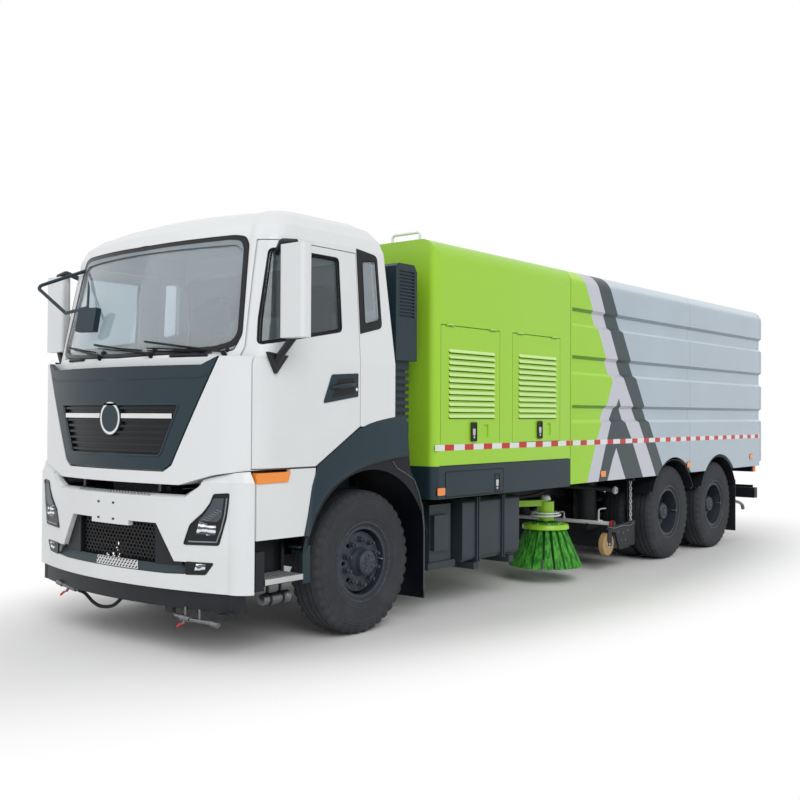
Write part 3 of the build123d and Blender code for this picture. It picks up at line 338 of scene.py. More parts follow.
# The edges of the painted stripes as (height, Y), on a span of 3 m from Y = -1 and 3.2 m of height
Y_SPAN = 3.0
Z_SPAN = 3.2
LINES = {
    "green": ((0.97, -0.090), (1.40, 0.106), (1.742, 0.317), (2.01, 0.456), (3.2, -0.254)),
    "stripe left": ((0.90, 1.545), (1.188, 1.350), (1.57, 1.075), (2.14, 0.640), (2.735, 0.28),
                    (3.2, 0.02)),
    "stripe right": ((0.90, 1.80), (1.54, 1.345), (2.24, 0.876), (2.74, 0.556), (3.2, 0.27)),
    "leg left": ((0.90, 0.115), (1.22, 0.248), (1.423, 0.340), (1.583, 0.415), (1.755, 0.535),
                 (1.84, 0.594), (3.2, 1.32)),
    "leg right": ((0.90, 1.225), (1.197, 1.030), (1.415, 0.885), (1.583, 0.745), (1.755, 0.640),
                  (1.84, 0.596), (3.2, 0.0)),
    "gap left": ((0.90, 0.298), (1.057, 0.382), (1.215, 0.464), (1.318, 0.538), (3.2, 1.5)),
    "gap right": ((0.90, 0.805), (1.079, 0.688), (1.222, 0.598), (1.318, 0.540), (3.2, 0.1)),
}


def lit(n, colour, above, below):
    """A colour with a painted highlight on faces turned partly up, but not on flat tops, and painted
    shade on faces turned down.
    """
    split = n.add("ShaderNodeSeparateXYZ")
    n.join(n.add("ShaderNodeTexCoord").outputs["Normal"], split.inputs[0])
    level = split.outputs[2]
    high = n.both(n.ramp(level, 0.15, 0.5), n.ramp(level, 0.90, 0.97, 1.0, 0.0))
    return n.mix(n.ramp(level, -0.5, -0.15, 1.0, 0.0), n.mix(high, colour, above), below)


def within(n, x=None, y=None, z=None, soft=0.002):
    """A mask inside a box of positions, with X counted on both sides of the middle."""
    place = n.axes()
    mask = 1.0
    for value, span in ((n.math("ABSOLUTE", place[0]), x), (place[1], y), (place[2], z)):
        if span:
            inside = n.both(n.ramp(value, span[0] - soft, span[0] + soft),
                            n.ramp(value, span[1] - soft, span[1] + soft, 1.0, 0.0))
            mask = n.both(inside, mask)
    return mask


def distance(n, a, b):
    return n.math("SQRT", n.math("ADD", n.math("POWER", a, 2), n.math("POWER", b, 2)))


def ringed(n):
    """A mask on the ring in the middle of the front flap."""
    x, _, z = n.axes()
    away = distance(n, x, n.math("SUBTRACT", z, RING_HEIGHT))
    return n.both(n.ramp(away, RING_INNER - 0.001, RING_INNER + 0.001),
                  n.ramp(away, RING_OUTER - 0.001, RING_OUTER + 0.001, 1.0, 0.0))


def flap_colours(n):
    return n.mix(ringed(n), SLATE, (0.75, 0.76, 0.77))


def shell_colours(n):
    """White outside, a grey lining inside and dark brackets below."""
    lined = n.mix(within(n, (0, 1.13), (-4.2, -3.17), (1.25, 2.86)), WHITE, (0.30, 0.30, 0.29))
    return n.mix(within(n, None, None, (0, 1.168)), lined, (0.012, 0.013, 0.015))


def mirror_colours(n):
    """White heads on black arms."""
    return n.mix(within(n, (SIDE, 2), None, (2.165, 2.80)), NEAR_BLACK, WHITE)


def lamp_colours(n):
    """Grey lamps, with amber ones at the cab's corners."""
    return n.mix(within(n, (1.2, 2), None, (1.19, 2)), (0.55, 0.57, 0.58), (0.90, 0.27, 0.02))


# The front arch's inner edge as (Y, height)
WELL = ((-4.044, 0.80), (-3.983, 0.945), (-3.911, 1.041), (-3.811, 1.123), (-3.67, 1.194),
        (-3.514, 1.246), (-3.374, 1.28), (-3.145, 1.313), (-2.949, 1.328))
WELL_FRONT, WELL_SPAN = -4.044, 1.4


def guard_colours(n):
    """Slate flare, with near black painted shade inside the guard and under the flare's inner edge,
    standing in for the dark well.
    """
    _, y, z = n.axes()
    along = n.math("DIVIDE", n.math("SUBTRACT", y, WELL_FRONT), WELL_SPAN, clamp=True)
    points = [((at - WELL_FRONT) / WELL_SPAN, height / 2) for at, height in WELL]
    edge = curve(n, along, points + [(1.0, 0.664)])
    # Near black painted shade under the flare's inner edge, behind the well's front and on the guard's
    # inside
    under = n.ramp(n.math("SUBTRACT", n.math("MULTIPLY", edge, 2.0), z), -0.002, 0.002)
    behind_front = n.ramp(y, WELL_FRONT - 0.002, WELL_FRONT + 0.002)
    under = n.either(n.both(under, behind_front), within(n, (0, 1.2495)))
    return n.mix(under, SLATE, (0.004, 0.005, 0.009))


def reflector_colours(n):
    """Bright plating, with dark lines painted across it for the changing reflection of the lamp's
    facets.
    """
    height = n.math("MULTIPLY", n.axes()[2], 170.0)
    wave = n.math("SINE", n.math("ADD", height, n.math("MULTIPLY", n.noise(14, 2), 9.0)))
    return n.mix(n.ramp(wave, -0.1, 0.5), (0.10, 0.12, 0.15), (0.85, 0.87, 0.90))


def roof_colours(n):
    """Lime with white rails on the roof."""
    return n.mix(within(n, None, None, (3.105, 4)), LIME, WHITE)


def decal_colours(n):
    """Pale paint: lime front, pale band, dark stripe with a forked leg, seams and a dark floor; the pale
    and lime paint carry a painted highlight on faces turned up and painted shade on faces turned down.
    """
    _, y, z = n.axes()
    level = n.math("DIVIDE", z, Z_SPAN)

    def behind(name):
        points = [(height / Z_SPAN, (at + 1) / Y_SPAN) for height, at in LINES[name]]
        line = curve(n, level, [(0.0, points[0][1])] + points, True)
        line = n.math("SUBTRACT", n.math("MULTIPLY", line, Y_SPAN), 1.0)
        return n.ramp(n.math("SUBTRACT", y, line), -0.003, 0.003)

    def strip(name):
        return n.both(behind(name + " left"), n.outside(behind(name + " right")))

    legs = n.both(strip("leg"), n.ramp(z, 1.835, 1.845, 1.0, 0.0))
    gap = n.both(strip("gap"), n.ramp(z, 1.316, 1.322, 1.0, 0.0))
    dark = n.either(strip("stripe"), n.both(legs, n.outside(gap)))
    shade = n.mix(n.ramp(n.noise(1.6, 4), 0.3, 0.7), scaled(PALE, 0.95), PALE)
    # The pale and lime paint get a painted highlight on upward faces and painted shade on downward faces
    rear = n.mix(behind("stripe right"), BAND, lit(n, shade, PALE_PAINTED_HIGHLIGHT, PALE_PAINTED_SHADE))
    painted = n.mix(n.outside(behind("green")), rear, lit(n, LIME, LIME_PAINTED_HIGHLIGHT, LIME_PAINTED_SHADE))
    painted = n.mix(dark, painted, STRIPE)
    seams = n.either(within(n, None, (2.410, 2.416), None, 0.0015),
                     within(n, None, (4.7475, 4.7515), None, 0.001))
    painted = n.mix(n.math("MULTIPLY", seams, 0.75), painted, (0.05, 0.06, 0.07))
    return n.mix(within(n, (0, 1.235), None, (0, 1.03)), painted, (0.012, 0.015, 0.019))


def gate_colours(n):
    """Pale tailgate with the seams of its ribs and frame, a painted highlight on faces turned up and
    painted shade on faces turned down.
    """
    lines = within(n, (0.396, 0.404))
    for x, z in (((0.806, 0.814), None), ((1.186, 1.194), None), (None, (1.120, 1.128)),
                 (None, (3.040, 3.048))):
        lines = n.either(lines, within(n, x, None, z))
    # Painted highlight on upward faces and painted shade on downward faces of the pale paint
    pale = lit(n, PALE, PALE_PAINTED_HIGHLIGHT, PALE_PAINTED_SHADE)
    return n.mix(n.math("MULTIPLY", lines, 0.6), pale, (0.08, 0.10, 0.12))


def tail_colours(n):
    """Black bar with red lenses behind and amber ends."""
    lenses = within(n, (0.55, 1.22), (4.643, 5), (0.915, 0.975))
    bar = n.mix(lenses, (0.010, 0.012, 0.016), (0.60, 0.02, 0.015))
    return n.mix(within(n, (1.232, 2)), bar, (0.70, 0.16, 0.04))


def louvre_colours(n):
    """Lime with a painted highlight on the slats' upward faces and painted shade on their downward
    faces, both stronger than on the container.
    """
    return lit(n, LIME, (0.62, 0.86, 0.34), (0.075, 0.180, 0.010))


def bristle_colours(n):
    """Green bristles, with a painted highlight in bright streaks and painted shade in the dark gaps
    between them, the streaks stronger lower down.
    """
    painted_tuft_light = n.ramp(n.noise(1.0, 2, 0.5, n.stretched((38, 38, 1.6))), 0.30, 0.70)
    bright = n.both(painted_tuft_light, n.ramp(n.axes()[2], 0.62, 0.2, 0.75, 1.0))
    return n.mix(bright, (0.010, 0.120, 0.010), (0.085, 0.400, 0.050))


FINISHES = {
    "cab_white": finish("Cab white paint", WHITE, 0.34, coat=0.2, dust=0.08, dust_top=1.3,
                        bump=0.012, vary=0.02, round_edge=0.004, grain_scale=500, waves=2),
    "shell": finish("White cab, grey inside", shell_colours, 0.34, coat=0.2, dust=0.05, dust_top=1.5,
                    bump=0.012, round_edge=0.004, grain_scale=500, waves=2),
    "slate": finish("Slate blue trim", SLATE, 0.36, dust=0.05, dust_top=1.4, bump=0.05, grain_scale=380,
                    round_edge=0.004, specular=0.25, dust_colour=(0.16, 0.17, 0.17)),
    "flap": finish("Slate front with a bright ring", flap_colours, 0.30, bump=0.04, grain_scale=380,
                   round_edge=0.004, specular=0.25, dust=0.04, bright=ringed),
    "mirror": finish("Mirror housing and arms", mirror_colours, 0.36, dust=0.0, bump=0.03, specular=0.3),
    "guard": finish("Slate flare, painted shade in the well", guard_colours, 0.38, dust=0.0, bump=0.04, specular=0.22),
    "gate": finish("Tailgate paint", gate_colours, 0.36, coat=0.1, dust=0.08, dust_top=1.9, bump=0.02,
                   waves=2, round_edge=0.004, specular=0.3),
    "tail": finish("Tail lamp bar", tail_colours, 0.30, dust=0.08, bump=0.04),
    "louvred": finish("Lime hatch", louvre_colours, 0.34, coat=0.2, dust=0.04, bump=0.02,
                      round_edge=0.002, waves=3),
    "reflector": finish("Lamp reflector", reflector_colours, 0.16, metallic=0.6, dust=0.0, bump=0.02),
    "lamp_grey": finish("Lamp inner grey", (0.060, 0.075, 0.090), 0.30, dust=0.0, bump=0.04,
                        grain_scale=120),
    "lamp_line": finish("Lamp light line", (0.22, 0.25, 0.28), 0.25, dust=0.0, bump=0.02),
    "roof": finish("Lime roof with white rails", roof_colours, 0.34, coat=0.2, dust=0.03, bump=0.02,
                   round_edge=0.003, waves=3),
    "lime": finish("Lime paint", LIME, 0.34, coat=0.2, dust=0.06, dust_top=1.7, bump=0.02, vary=0.03,
                   round_edge=0.003, waves=3),
    "container_blue": finish("Container paint with stripes", decal_colours, 0.36, coat=0.1, dust=0.06,
                             dust_top=1.7, bump=0.02, round_edge=0.004, waves=2, specular=0.3),
    "frame_black": finish("Chassis black", (0.011, 0.013, 0.017), 0.46, dust=0.10, dust_top=1.2,
                          bump=0.04, round_edge=0.002, specular=0.25, dust_colour=GREY_DUST),
    "wheel_grey": finish("Wheel grey enamel", (0.030, 0.038, 0.052), 0.42, dust=0.25, dust_top=1.3,
                         wear=0.3, wear_colour=GREY_DUST, bump=0.05, specular=0.3,
                         dust_colour=WHEEL_DUST),
    "tyre": finish("Tyre rubber", (0.025, 0.028, 0.034), 0.75, dust=0.40, dust_top=1.4, bump=0.12,
                   dust_colour=(0.12, 0.125, 0.13), grain_scale=300),
    "glass": glass_finish("Cab glazing", (0.78, 0.87, 0.93), roughness=0.0, clear=0.80),
    "dark_glass": glass_finish("Tinted door glazing", (0.42, 0.52, 0.55), roughness=0.0, clear=0.94),
    "lamp": glass_finish("Lamp lens", (0.92, 0.94, 0.95)),
    "front_lamp": finish("Lamp shells", lamp_colours, 0.15, coat=0.5, dust=0.06, bump=0.05,
                         grain_scale=140),
    "interior": finish("Interior trim", (0.10, 0.10, 0.105), 0.65, dust=0.05, bump=0.08),
    "black_plastic": finish("Black plastic", (0.010, 0.012, 0.015), 0.46, dust=0.14, dust_top=1.3,
                            bump=0.10, grain_scale=500, specular=0.25, dust_colour=GREY_DUST),
    "tank_grey": finish("Tank enamel", (0.024, 0.038, 0.048), 0.40, dust=0.15, dust_top=1.2, bump=0.03,
                        specular=0.3, dust_colour=WHEEL_DUST),
    "cast": finish("Cast iron", (0.034, 0.036, 0.040), 0.60, dust=0.15, dust_top=1.6, bump=0.10,
                   grain_scale=120, wear=0.1, specular=0.3),
    "chrome": finish("Bright chrome", (0.80, 0.80, 0.80), 0.10, metallic=1.0, dust=0.05, bump=0.01),
    "brush_green": finish("Brush bristle green", bristle_colours, 0.60, dust=0.12, dust_top=0.5,
                          dust_colour=(0.16, 0.22, 0.06), bump=0.3, specular=0.2),
    "tan_rubber": finish("Tan castor rubber", (0.46, 0.30, 0.13), 0.70, dust=0.3, dust_top=0.8,
                         bump=0.15),
}

# Solids that take another finish than their slot's own, by the start of the node's name
OWN_FINISH = {
    "hatch_": "louvred", "cab_shell": "shell", "power_housing": "roof", "front_flap": "flap",
    "mirror_": "mirror", "door_glass_": "dark_glass", "front_lamps": "front_lamp",
    "front_mudguards": "guard", "tailgate": "gate", "tail_lamps": "tail",
}
for part in frame["record"]["subparts"]:
    node = part["node"]
    name = next((own for start, own in OWN_FINISH.items() if node.startswith(start)),
                part["material_slot"])
    for place in frame["nodes"][node].material_slots:
        place.material = FINISHES[name]


# Floor, lamps and surroundings

def make_floor():
    """Pale floor that keeps the truck's shadow and fades to white away from it."""
    mesh = bpy.data.meshes.new("floor")
    far = 60
    corners = [(-far, -far, 0), (far, -far, 0), (far, far, 0), (-far, far, 0)]
    mesh.from_pydata(corners, [], [(0, 1, 2, 3)])
    floor = bpy.data.objects.new("floor", mesh)
    bpy.context.scene.collection.objects.link(floor)
    material = bpy.data.materials.new("Pale studio floor")
    material.use_nodes = True
    n = Nodes(material.node_tree)
    shader = material.node_tree.nodes["Principled BSDF"]
    out = material.node_tree.nodes["Material Output"]
    n.join(n.mix(n.ramp(n.noise(0.8, 5), 0.3, 0.7), (0.80, 0.80, 0.80), (0.83, 0.83, 0.83)),
           shader.inputs["Base Color"])
    shader.inputs["Roughness"].default_value = 0.9
    white = n.add("ShaderNodeEmission")
    white.inputs["Strength"].default_value = 1.0
    x, y, _ = n.axes()
    away = distance(n, n.math("DIVIDE", x, 2.3), n.math("DIVIDE", y, 6.2))
    rays = n.add("ShaderNodeLightPath")
    seen = n.either(rays.outputs["Is Camera Ray"], rays.outputs["Is Glossy Ray"])
    blend = n.add("ShaderNodeMixShader")
    n.join(n.both(n.ramp(away, 0.75, 1.35), seen), blend.inputs[0])
    n.join(shader.outputs[0], blend.inputs[1])
    n.join(white.outputs[0], blend.inputs[2])
    n.join(blend.outputs[0], out.inputs["Surface"])
    mesh.materials.append(material)


def make_world(ambient):
    """Even light from all around, seen as white."""
    world = bpy.data.worlds.new("studio")
    bpy.context.scene.world = world
    world.use_nodes = True
    n = Nodes(world.node_tree)
    sky = world.node_tree.nodes["Background"]
    rays = n.add("ShaderNodeLightPath")
    shown = n.math("ADD", rays.outputs["Is Camera Ray"], rays.outputs["Is Glossy Ray"])
    shown = n.math("ADD", shown, rays.outputs["Is Transmission Ray"], clamp=True)
    n.join(n.ramp(shown, 0.0, 1.0, ambient, 1.0), sky.inputs["Strength"])
    sky.inputs["Color"].default_value = (1, 1, 1, 1)


def make_sun(name, azimuth, elevation, strength, spread):
    """A wide soft light from an azimuth and elevation, counted from the front towards the left."""
    data = bpy.data.lights.new(name, "SUN")
    data.energy = strength
    data.angle = radians(spread)
    sun = bpy.data.objects.new(name, data)
    a, e = radians(azimuth), radians(elevation)
    toward = Vector((sin(a) * cos(e), -cos(a) * cos(e), sin(e)))
    sun.rotation_mode = "QUATERNION"
    sun.rotation_quaternion = toward.to_track_quat("Z", "Y")
    bpy.context.scene.collection.objects.link(sun)


make_floor()
make_world(0.52)
make_sun("key", 60, 36, 1.40, 40)
make_sun("fill", -25, 32, 0.50, 60)
bpy.context.scene.view_settings.view_transform = "Standard"


# Mesh helpers

def as_piece(name, mesh, finish_name, body, smooth=35, bevel=0.0, segments=2):
    """Puts a mesh in the scene with its finish, riding on a body."""
    mesh.validate()
    piece = bpy.data.objects.new(name, mesh)
    bpy.context.scene.collection.objects.link(piece)
    mesh.materials.append(FINISHES[finish_name])
    if bevel:
        edge = piece.modifiers.new("edges", "BEVEL")
        edge.width, edge.segments, edge.limit_method = bevel, segments, "ANGLE"
        edge.angle_limit = radians(30)
    for face in mesh.polygons:
        face.use_smooth = True
    mesh.set_sharp_from_angle(angle=radians(smooth))
    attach(piece, body)
    return piece


PLANES = {
    "YZ": lambda a, b, c: (c, a, b),
    "XZ": lambda a, b, c: (a, c, b),
    "XY": lambda a, b, c: (a, b, c),
}


def circle(count, start=0.0):
    """Angles at equal steps round a circle."""
    return [2 * pi * (step + start) / count for step in range(count)]


# A box's faces by its corners, numbered with X, Y and Z as bits
BOX_FACES = ((0, 2, 3, 1), (4, 5, 7, 6), (0, 1, 5, 4), (2, 6, 7, 3), (0, 4, 6, 2), (1, 3, 7, 5))


def box_parts(boxes):
    """Points and faces of several boxes, each given by its low and high corners."""
    points, faces = [], []
    for low, high in boxes:
        start = len(points)
        for index in range(8):
            points.append(tuple((high if index >> axis & 1 else low)[axis] for axis in range(3)))
        faces += [tuple(start + corner for corner in face) for face in BOX_FACES]
    return points, faces


def tube_parts(path, radius, sides=10, closed=False):
    """Points and faces of a round bar along a path; radius may be one number or one for each point."""
    points, faces = [], []
    path = [Vector(point) for point in path]
    radii = radius if isinstance(radius, (list, tuple)) else [radius] * len(path)
    count = len(path)
    last = None
    for index, point in enumerate(path):
        before = path[index - 1] if index or closed else path[0]
        after = path[(index + 1) % count] if index < count - 1 or closed else path[-1]
        ahead = (after - before).normalized()
        if last is None:
            up = Vector((0, 0, 1)) if abs(ahead.z) < 0.9 else Vector((1, 0, 0))
            side = ahead.cross(up).normalized()
        else:
            side = (last - ahead * last.dot(ahead)).normalized()
        last = side
        up = side.cross(ahead)
        for angle in circle(sides):
            points.append(tuple(point + (side * cos(angle) + up * sin(angle)) * radii[index]))
    rings = count if closed else count - 1
    for ring in range(rings):
        for turn in range(sides):
            a, b = ring * sides + turn, ring * sides + (turn + 1) % sides
            c, d = (ring + 1) % count * sides + (turn + 1) % sides, (ring + 1) % count * sides + turn
            faces.append((a, b, c, d))
    if not closed:
        faces.append(tuple(range(sides - 1, -1, -1)))
        faces.append(tuple((count - 1) * sides + turn for turn in range(sides)))
    return points, faces


def lathe_parts(profile, centre, axis="X", sides=48, turn=1, caps=True):
    """Points and faces of a profile of (along, radius) turned round an axis through the centre."""
    points, faces = [], []
    for along, radius in profile:
        for angle in circle(sides):
            a, b = radius * cos(angle), radius * sin(angle)
            offset = {"X": (along * turn, a, b), "Y": (a, along * turn, b),
                      "Z": (a, b, along * turn)}[axis]
            points.append(tuple(c + o for c, o in zip(centre, offset)))
    for ring in range(len(profile) - 1):
        for step in range(sides):
            a, b = ring * sides + step, ring * sides + (step + 1) % sides
            faces.append((a, b, b + sides, a + sides))
    if caps and profile[0][1] > 0:
        faces.append(tuple(range(sides)))
    if caps and profile[-1][1] > 0:
        faces.append(tuple(range((len(profile) - 1) * sides, len(profile) * sides)))
    return points, faces


def hoop_parts(profile, centre, axis="X", sides=64, turn=1):
    """Points and faces of a closed profile turned round an axis: an open ring."""
    return lathe_parts([*profile, profile[0]], centre, axis, sides, turn, caps=False)


def plate_parts(outline, low, high, plane="YZ"):
    """Points and faces of a flat plate, with an outline in a plane and two levels across it."""
    place = PLANES[plane]
    count = len(outline)
    points = [place(a, b, low) for a, b in outline] + [place(a, b, high) for a, b in outline]
    faces = [tuple(range(count)), tuple(range(2 * count - 1, count - 1, -1))]
    for index in range(count):
        after = (index + 1) % count
        faces.append((index, index + count, after + count, after))
    return points, faces


def build(name, parts, finish_name, body, **options):
    """One piece from lists of points and faces, with outward faces, kept inside the truck's box."""
    points, faces = [], []
    for some_points, some_faces in parts:
        start = len(points)
        points += [tuple(max(low, min(high, value))
                         for value, low, high in zip(point, cad_low, cad_high))
                   for point in some_points]
        faces += [tuple(start + corner for corner in face) for face in some_faces]
    mesh = bpy.data.meshes.new(name)
    mesh.from_pydata(points, [], faces)
    work = bmesh.new()
    work.from_mesh(mesh)
    bmesh.ops.remove_doubles(work, verts=work.verts, dist=1e-6)
    bmesh.ops.dissolve_degenerate(work, edges=work.edges, dist=1e-7)
    bmesh.ops.recalc_face_normals(work, faces=work.faces)
    work.to_mesh(mesh)
    work.free()
    return as_piece(name, mesh, finish_name, body, **options)


def rounded(outline, radius, steps=5):
    """An outline with its corners rounded; radius may be one number or one for each corner."""
    result = []
    count = len(outline)
    radii = radius if isinstance(radius, (list, tuple)) else [radius] * count
    for index, corner in enumerate(outline):
        here = Vector(corner)
        before, after = Vector(outline[index - 1]), Vector(outline[(index + 1) % count])
        one, two = (before - here), (after - here)
        reach = min(radii[index], one.length * 0.45, two.length * 0.45)
        if reach < 1e-5:
            result.append(tuple(here))
            continue
        start, end = here + one.normalized() * reach, here + two.normalized() * reach
        for step in range(steps + 1):
            t = step / steps
            result.append(tuple(start * (1 - t) ** 2 + here * 2 * t * (1 - t) + end * t * t))
    return result


def rectangle(low, high):
    """The corners of a rectangle from its low and high corners."""
    return [low, (high[0], low[1]), high, (low[0], high[1])]


def around(a, b, half_a, half_b):
    """The corners of a rectangle from its middle and half sizes."""
    return rectangle((a - half_a, b - half_b), (a + half_a, b + half_b))


def grown(outline, amount):
    """An outline moved outwards by an amount (inwards when negative)."""
    count = len(outline)
    area = sum(outline[i - 1][0] * outline[i][1] - outline[i][0] * outline[i - 1][1]
               for i in range(count))
    sign = 1 if area > 0 else -1
    result = []
    for index in range(count):
        a, b, c = (Vector(outline[(index + k) % count]) for k in (-1, 0, 1))
        one, two = (b - a).normalized(), (c - b).normalized()
        n1, n2 = Vector((one.y, -one.x)) * sign, Vector((two.y, -two.x)) * sign
        result.append(tuple(b + (n1 + n2) * (amount / max(0.35, 1 + n1.dot(n2)))))
    return result


def ring_parts(inner, outer, low, high, plane="YZ"):
    """Points and faces of a flat frame between two outlines of the same number of points."""
    place = PLANES[plane]
    count = len(inner)
    points = [place(a, b, c) for c in (low, high) for line in (inner, outer) for a, b in line]
    faces = []
    for i in range(count):
        j = (i + 1) % count
        a, b, c, d = i, j, i + count, j + count
        faces += [(a, b, d, c), (a + 2 * count, c + 2 * count, d + 2 * count, b + 2 * count),
                  (a, a + 2 * count, b + 2 * count, b), (c, d, d + 2 * count, c + 2 * count)]
    return points, faces


def smooth_path(points, steps=8):
    """A smooth run through the points."""
    points = [Vector(p) for p in points]
    ends = [points[0] * 2 - points[1]] + points + [points[-1] * 2 - points[-2]]
    run = []
    for k in range(len(points) - 1):
        a, b, c, d = ends[k:k + 4]
        for step in range(steps):
            t = step / steps
            run.append(((b * 2) + (c - a) * t + (a * 2 - b * 5 + c * 4 - d) * t ** 2
                        + (b * 3 - a - c * 3 + d) * t ** 3) * 0.5)
    return run + [points[-1]]


def slab(x, half, ys, zs):
    """Low and high corners of a box about a side distance, between two Y and two heights."""
    return (x - half, ys[0], zs[0]), (x + half, ys[1], zs[1])


# The cab's surface, for trim that lies on it

CAB_WAIST, CAB_SCREEN_RISE = 2.044, 0.856
# Plans of the front: middle Y, then (X, Y) of the front corner and of the side
BUMPER_PLAN = -4.80, (1.100, -4.634), (1.25, -4.490)
LOWER_PLAN = -4.80, (1.020, -4.658), (1.25, -4.354)
WAIST_PLAN = -4.74, (1.070, -4.510), (1.25, -4.290)
ROOF_PLAN = -4.51, (0.980, -4.350), (1.19, -4.160)


def between(a, b, t):
    return tuple(p + (q - p) * t for p, q in zip(a, b))


def cab_plan(z, bumper=False):
    """Middle Y, front corner and side of the cab's plan at a height."""
    if bumper:
        return BUMPER_PLAN
    if z < CAB_WAIST:
        return LOWER_PLAN
    t = min(1.0, (z - CAB_WAIST) / CAB_SCREEN_RISE)
    (low_y, *low), (high_y, *high) = WAIST_PLAN, ROOF_PLAN
    return low_y + (high_y - low_y) * t, between(low[0], high[0], t), between(low[1], high[1], t)


def cab_front(x, z, out=0.0, bumper=False):
    """A point on the cab's front at a side distance and height, moved outwards."""
    centre, (fx, fy), (sx, sy) = cab_plan(z, bumper)
    ax = min(abs(x), sx - 1e-4)
    if ax <= fx:
        d = fy - centre
        r = (fx * fx + d * d) / (2 * d)
        y = centre + r - sqrt(r * r - ax * ax)
        normal = Vector((ax / r, -sqrt(1 - (ax / r) ** 2), 0))
    else:
        a, length = sx - fx, sy - fy
        r = (a * a + length * length) / (2 * a)
        xc = sx - r
        y = sy - sqrt(max(0, r * r - (ax - xc) ** 2))
        normal = Vector(((ax - xc) / r, -sqrt(max(0, 1 - ((ax - xc) / r) ** 2)), 0))
    sign = 1 if x >= 0 else -1
    return (sign * (ax + normal.x * out), y + normal.y * out, z)


def cab_side(y, z, out=0.0, side=1):
    """A point on the cab's side at a place along it and a height, moved outwards."""
    (fx, fy), (sx, sy) = cab_plan(z)[1:]
    a, length = sx - fx, sy - fy
    r = (a * a + length * length) / (2 * a)
    ahead = max(0.0, min(sy - y, r * 0.999))
    across = sqrt(r * r - ahead * ahead)
    return (side * (sx - r + across + across / r * out), y - ahead / r * out, z)


def sheet_on(surface, outline, thickness, hole=None, out=0.0, cell=0.06):
    """Points and faces of a sheet with an outline on a curved surface, with an optional hole."""
    work = bmesh.new()
    loops = [outline] + ([hole] if hole else [])
    edges = []
    for loop in loops:
        corners = [work.verts.new((a, b, 0)) for a, b in loop]
        edges += [work.edges.new((corners[i - 1], corners[i])) for i in range(len(corners))]
    bmesh.ops.triangle_fill(work, edges=edges, use_beauty=True, use_dissolve=False)
    for axis in (0, 1):
        low, high = min(p[axis] for p in outline), max(p[axis] for p in outline)
        steps = max(1, int((high - low) / cell))
        for k in range(1, steps):
            at = low + (high - low) * k / steps
            plane = Vector((1, 0, 0)) if axis == 0 else Vector((0, 1, 0))
            bmesh.ops.bisect_plane(work, geom=[*work.verts, *work.edges, *work.faces], dist=1e-5,
                                   plane_co=plane * at, plane_no=plane)
    bmesh.ops.join_triangles(work, faces=work.faces, angle_face_threshold=0.2,
                             angle_shape_threshold=3.1)
    work.verts.index_update()
    flat = [(v.co.x, v.co.y) for v in work.verts]
    faces = [tuple(v.index for v in f.verts) for f in work.faces]
    rim = [(e.verts[0].index, e.verts[1].index) for e in work.edges if len(e.link_faces) == 1]
    work.free()
    count = len(flat)
    points = [surface(a, b, out) for a, b in flat] + [surface(a, b, out + thickness) for a, b in flat]
    both = faces + [tuple(corner + count for corner in reversed(face)) for face in faces]
    both += [(a, b, b + count, a + count) for a, b in rim]
    return points, both


def patch_parts(place, columns, rows, thickness, bulge=0.0):
    """A plate over place(u, v), with an optional bulge on its outer side."""
    points, faces = [], []
    for lift in (0.0, thickness):
        for row in range(rows + 1):
            for column in range(columns + 1):
                u, v = column / columns, row / rows
                out = lift + (bulge * sin(pi * u) * sin(pi * v) if lift else 0)
                points.append(tuple(Vector(place(u, v)) + outward(place, u, v)[2] * out))
    wide, half = columns + 1, (columns + 1) * (rows + 1)
    for row in range(rows):
        for column in range(columns):
            i = row * wide + column
            faces += [(i, i + wide, i + wide + 1, i + 1),
                      (half + i, half + i + 1, half + i + wide + 1, half + i + wide)]
    rim = list(range(columns)) + [columns + wide * r for r in range(rows)]
    rim += [rows * wide + c for c in range(columns, 0, -1)] + [wide * r for r in range(rows, 0, -1)]
    for i, j in zip(rim, rim[1:] + rim[:1]):
        faces.append((i, j, j + half, i + half))
    return points, faces


def outward(place, u, v):
    """Unit vectors along, up and out of a surface place(u, v)."""
    along = (Vector(place(u + 0.01, v)) - Vector(place(u - 0.01, v))).normalized()
    up = (Vector(place(u, v + 0.01)) - Vector(place(u, v - 0.01))).normalized()
    out = along.cross(up).normalized()
    return along, out.cross(along), out


def corners_of(a, b, c, d):
    """place(u, v) over four corners, two along the bottom and two along the top."""
    return lambda u, v: between(between(a, b, u), between(c, d, u), v)


def perforated(name, place, columns, rows, radius, body):
    """A bright tread plate with raised rings, each round a dark disc that is painted shade for the
    opening through the plate.
    """
    build(name, [patch_parts(place, columns, 1, 0.004)], "steel", body)
    rims, hole_shades = [], []
    for row in range(rows):
        for column in range(columns):
            u, v = (column + 0.5 + 0.25 * (-1) ** row) / (columns + 0.25), (row + 0.5) / rows
            along, up, out = outward(place, u, v)
            middle = Vector(place(u, v))
            for parts, steps in ((rims, ((radius * 1.5, 0.004), (radius * 1.15, 0.0065))),
                                 (hole_shades, ((radius, 0.0045), (radius, 0.0069)))):
                ring = [tuple(middle + (along * cos(t) + up * sin(t)) * r + out * lift)
                        for r, lift in steps for t in circle(10)]
                sides = [(k, (k + 1) % 10, 10 + (k + 1) % 10, 10 + k) for k in range(10)]
                parts.append((ring, sides + [tuple(range(10)), tuple(range(10, 20))]))
    build(name + "_rims", rims, "steel", body)
    build(name + "_hole_shades", hole_shades, "border_black", body)


def mirror_x(parts):
    points, faces = parts
    return [(-x, y, z) for x, y, z in points], [tuple(reversed(face)) for face in faces]



# Cab: the trim round its glass, and the door handles

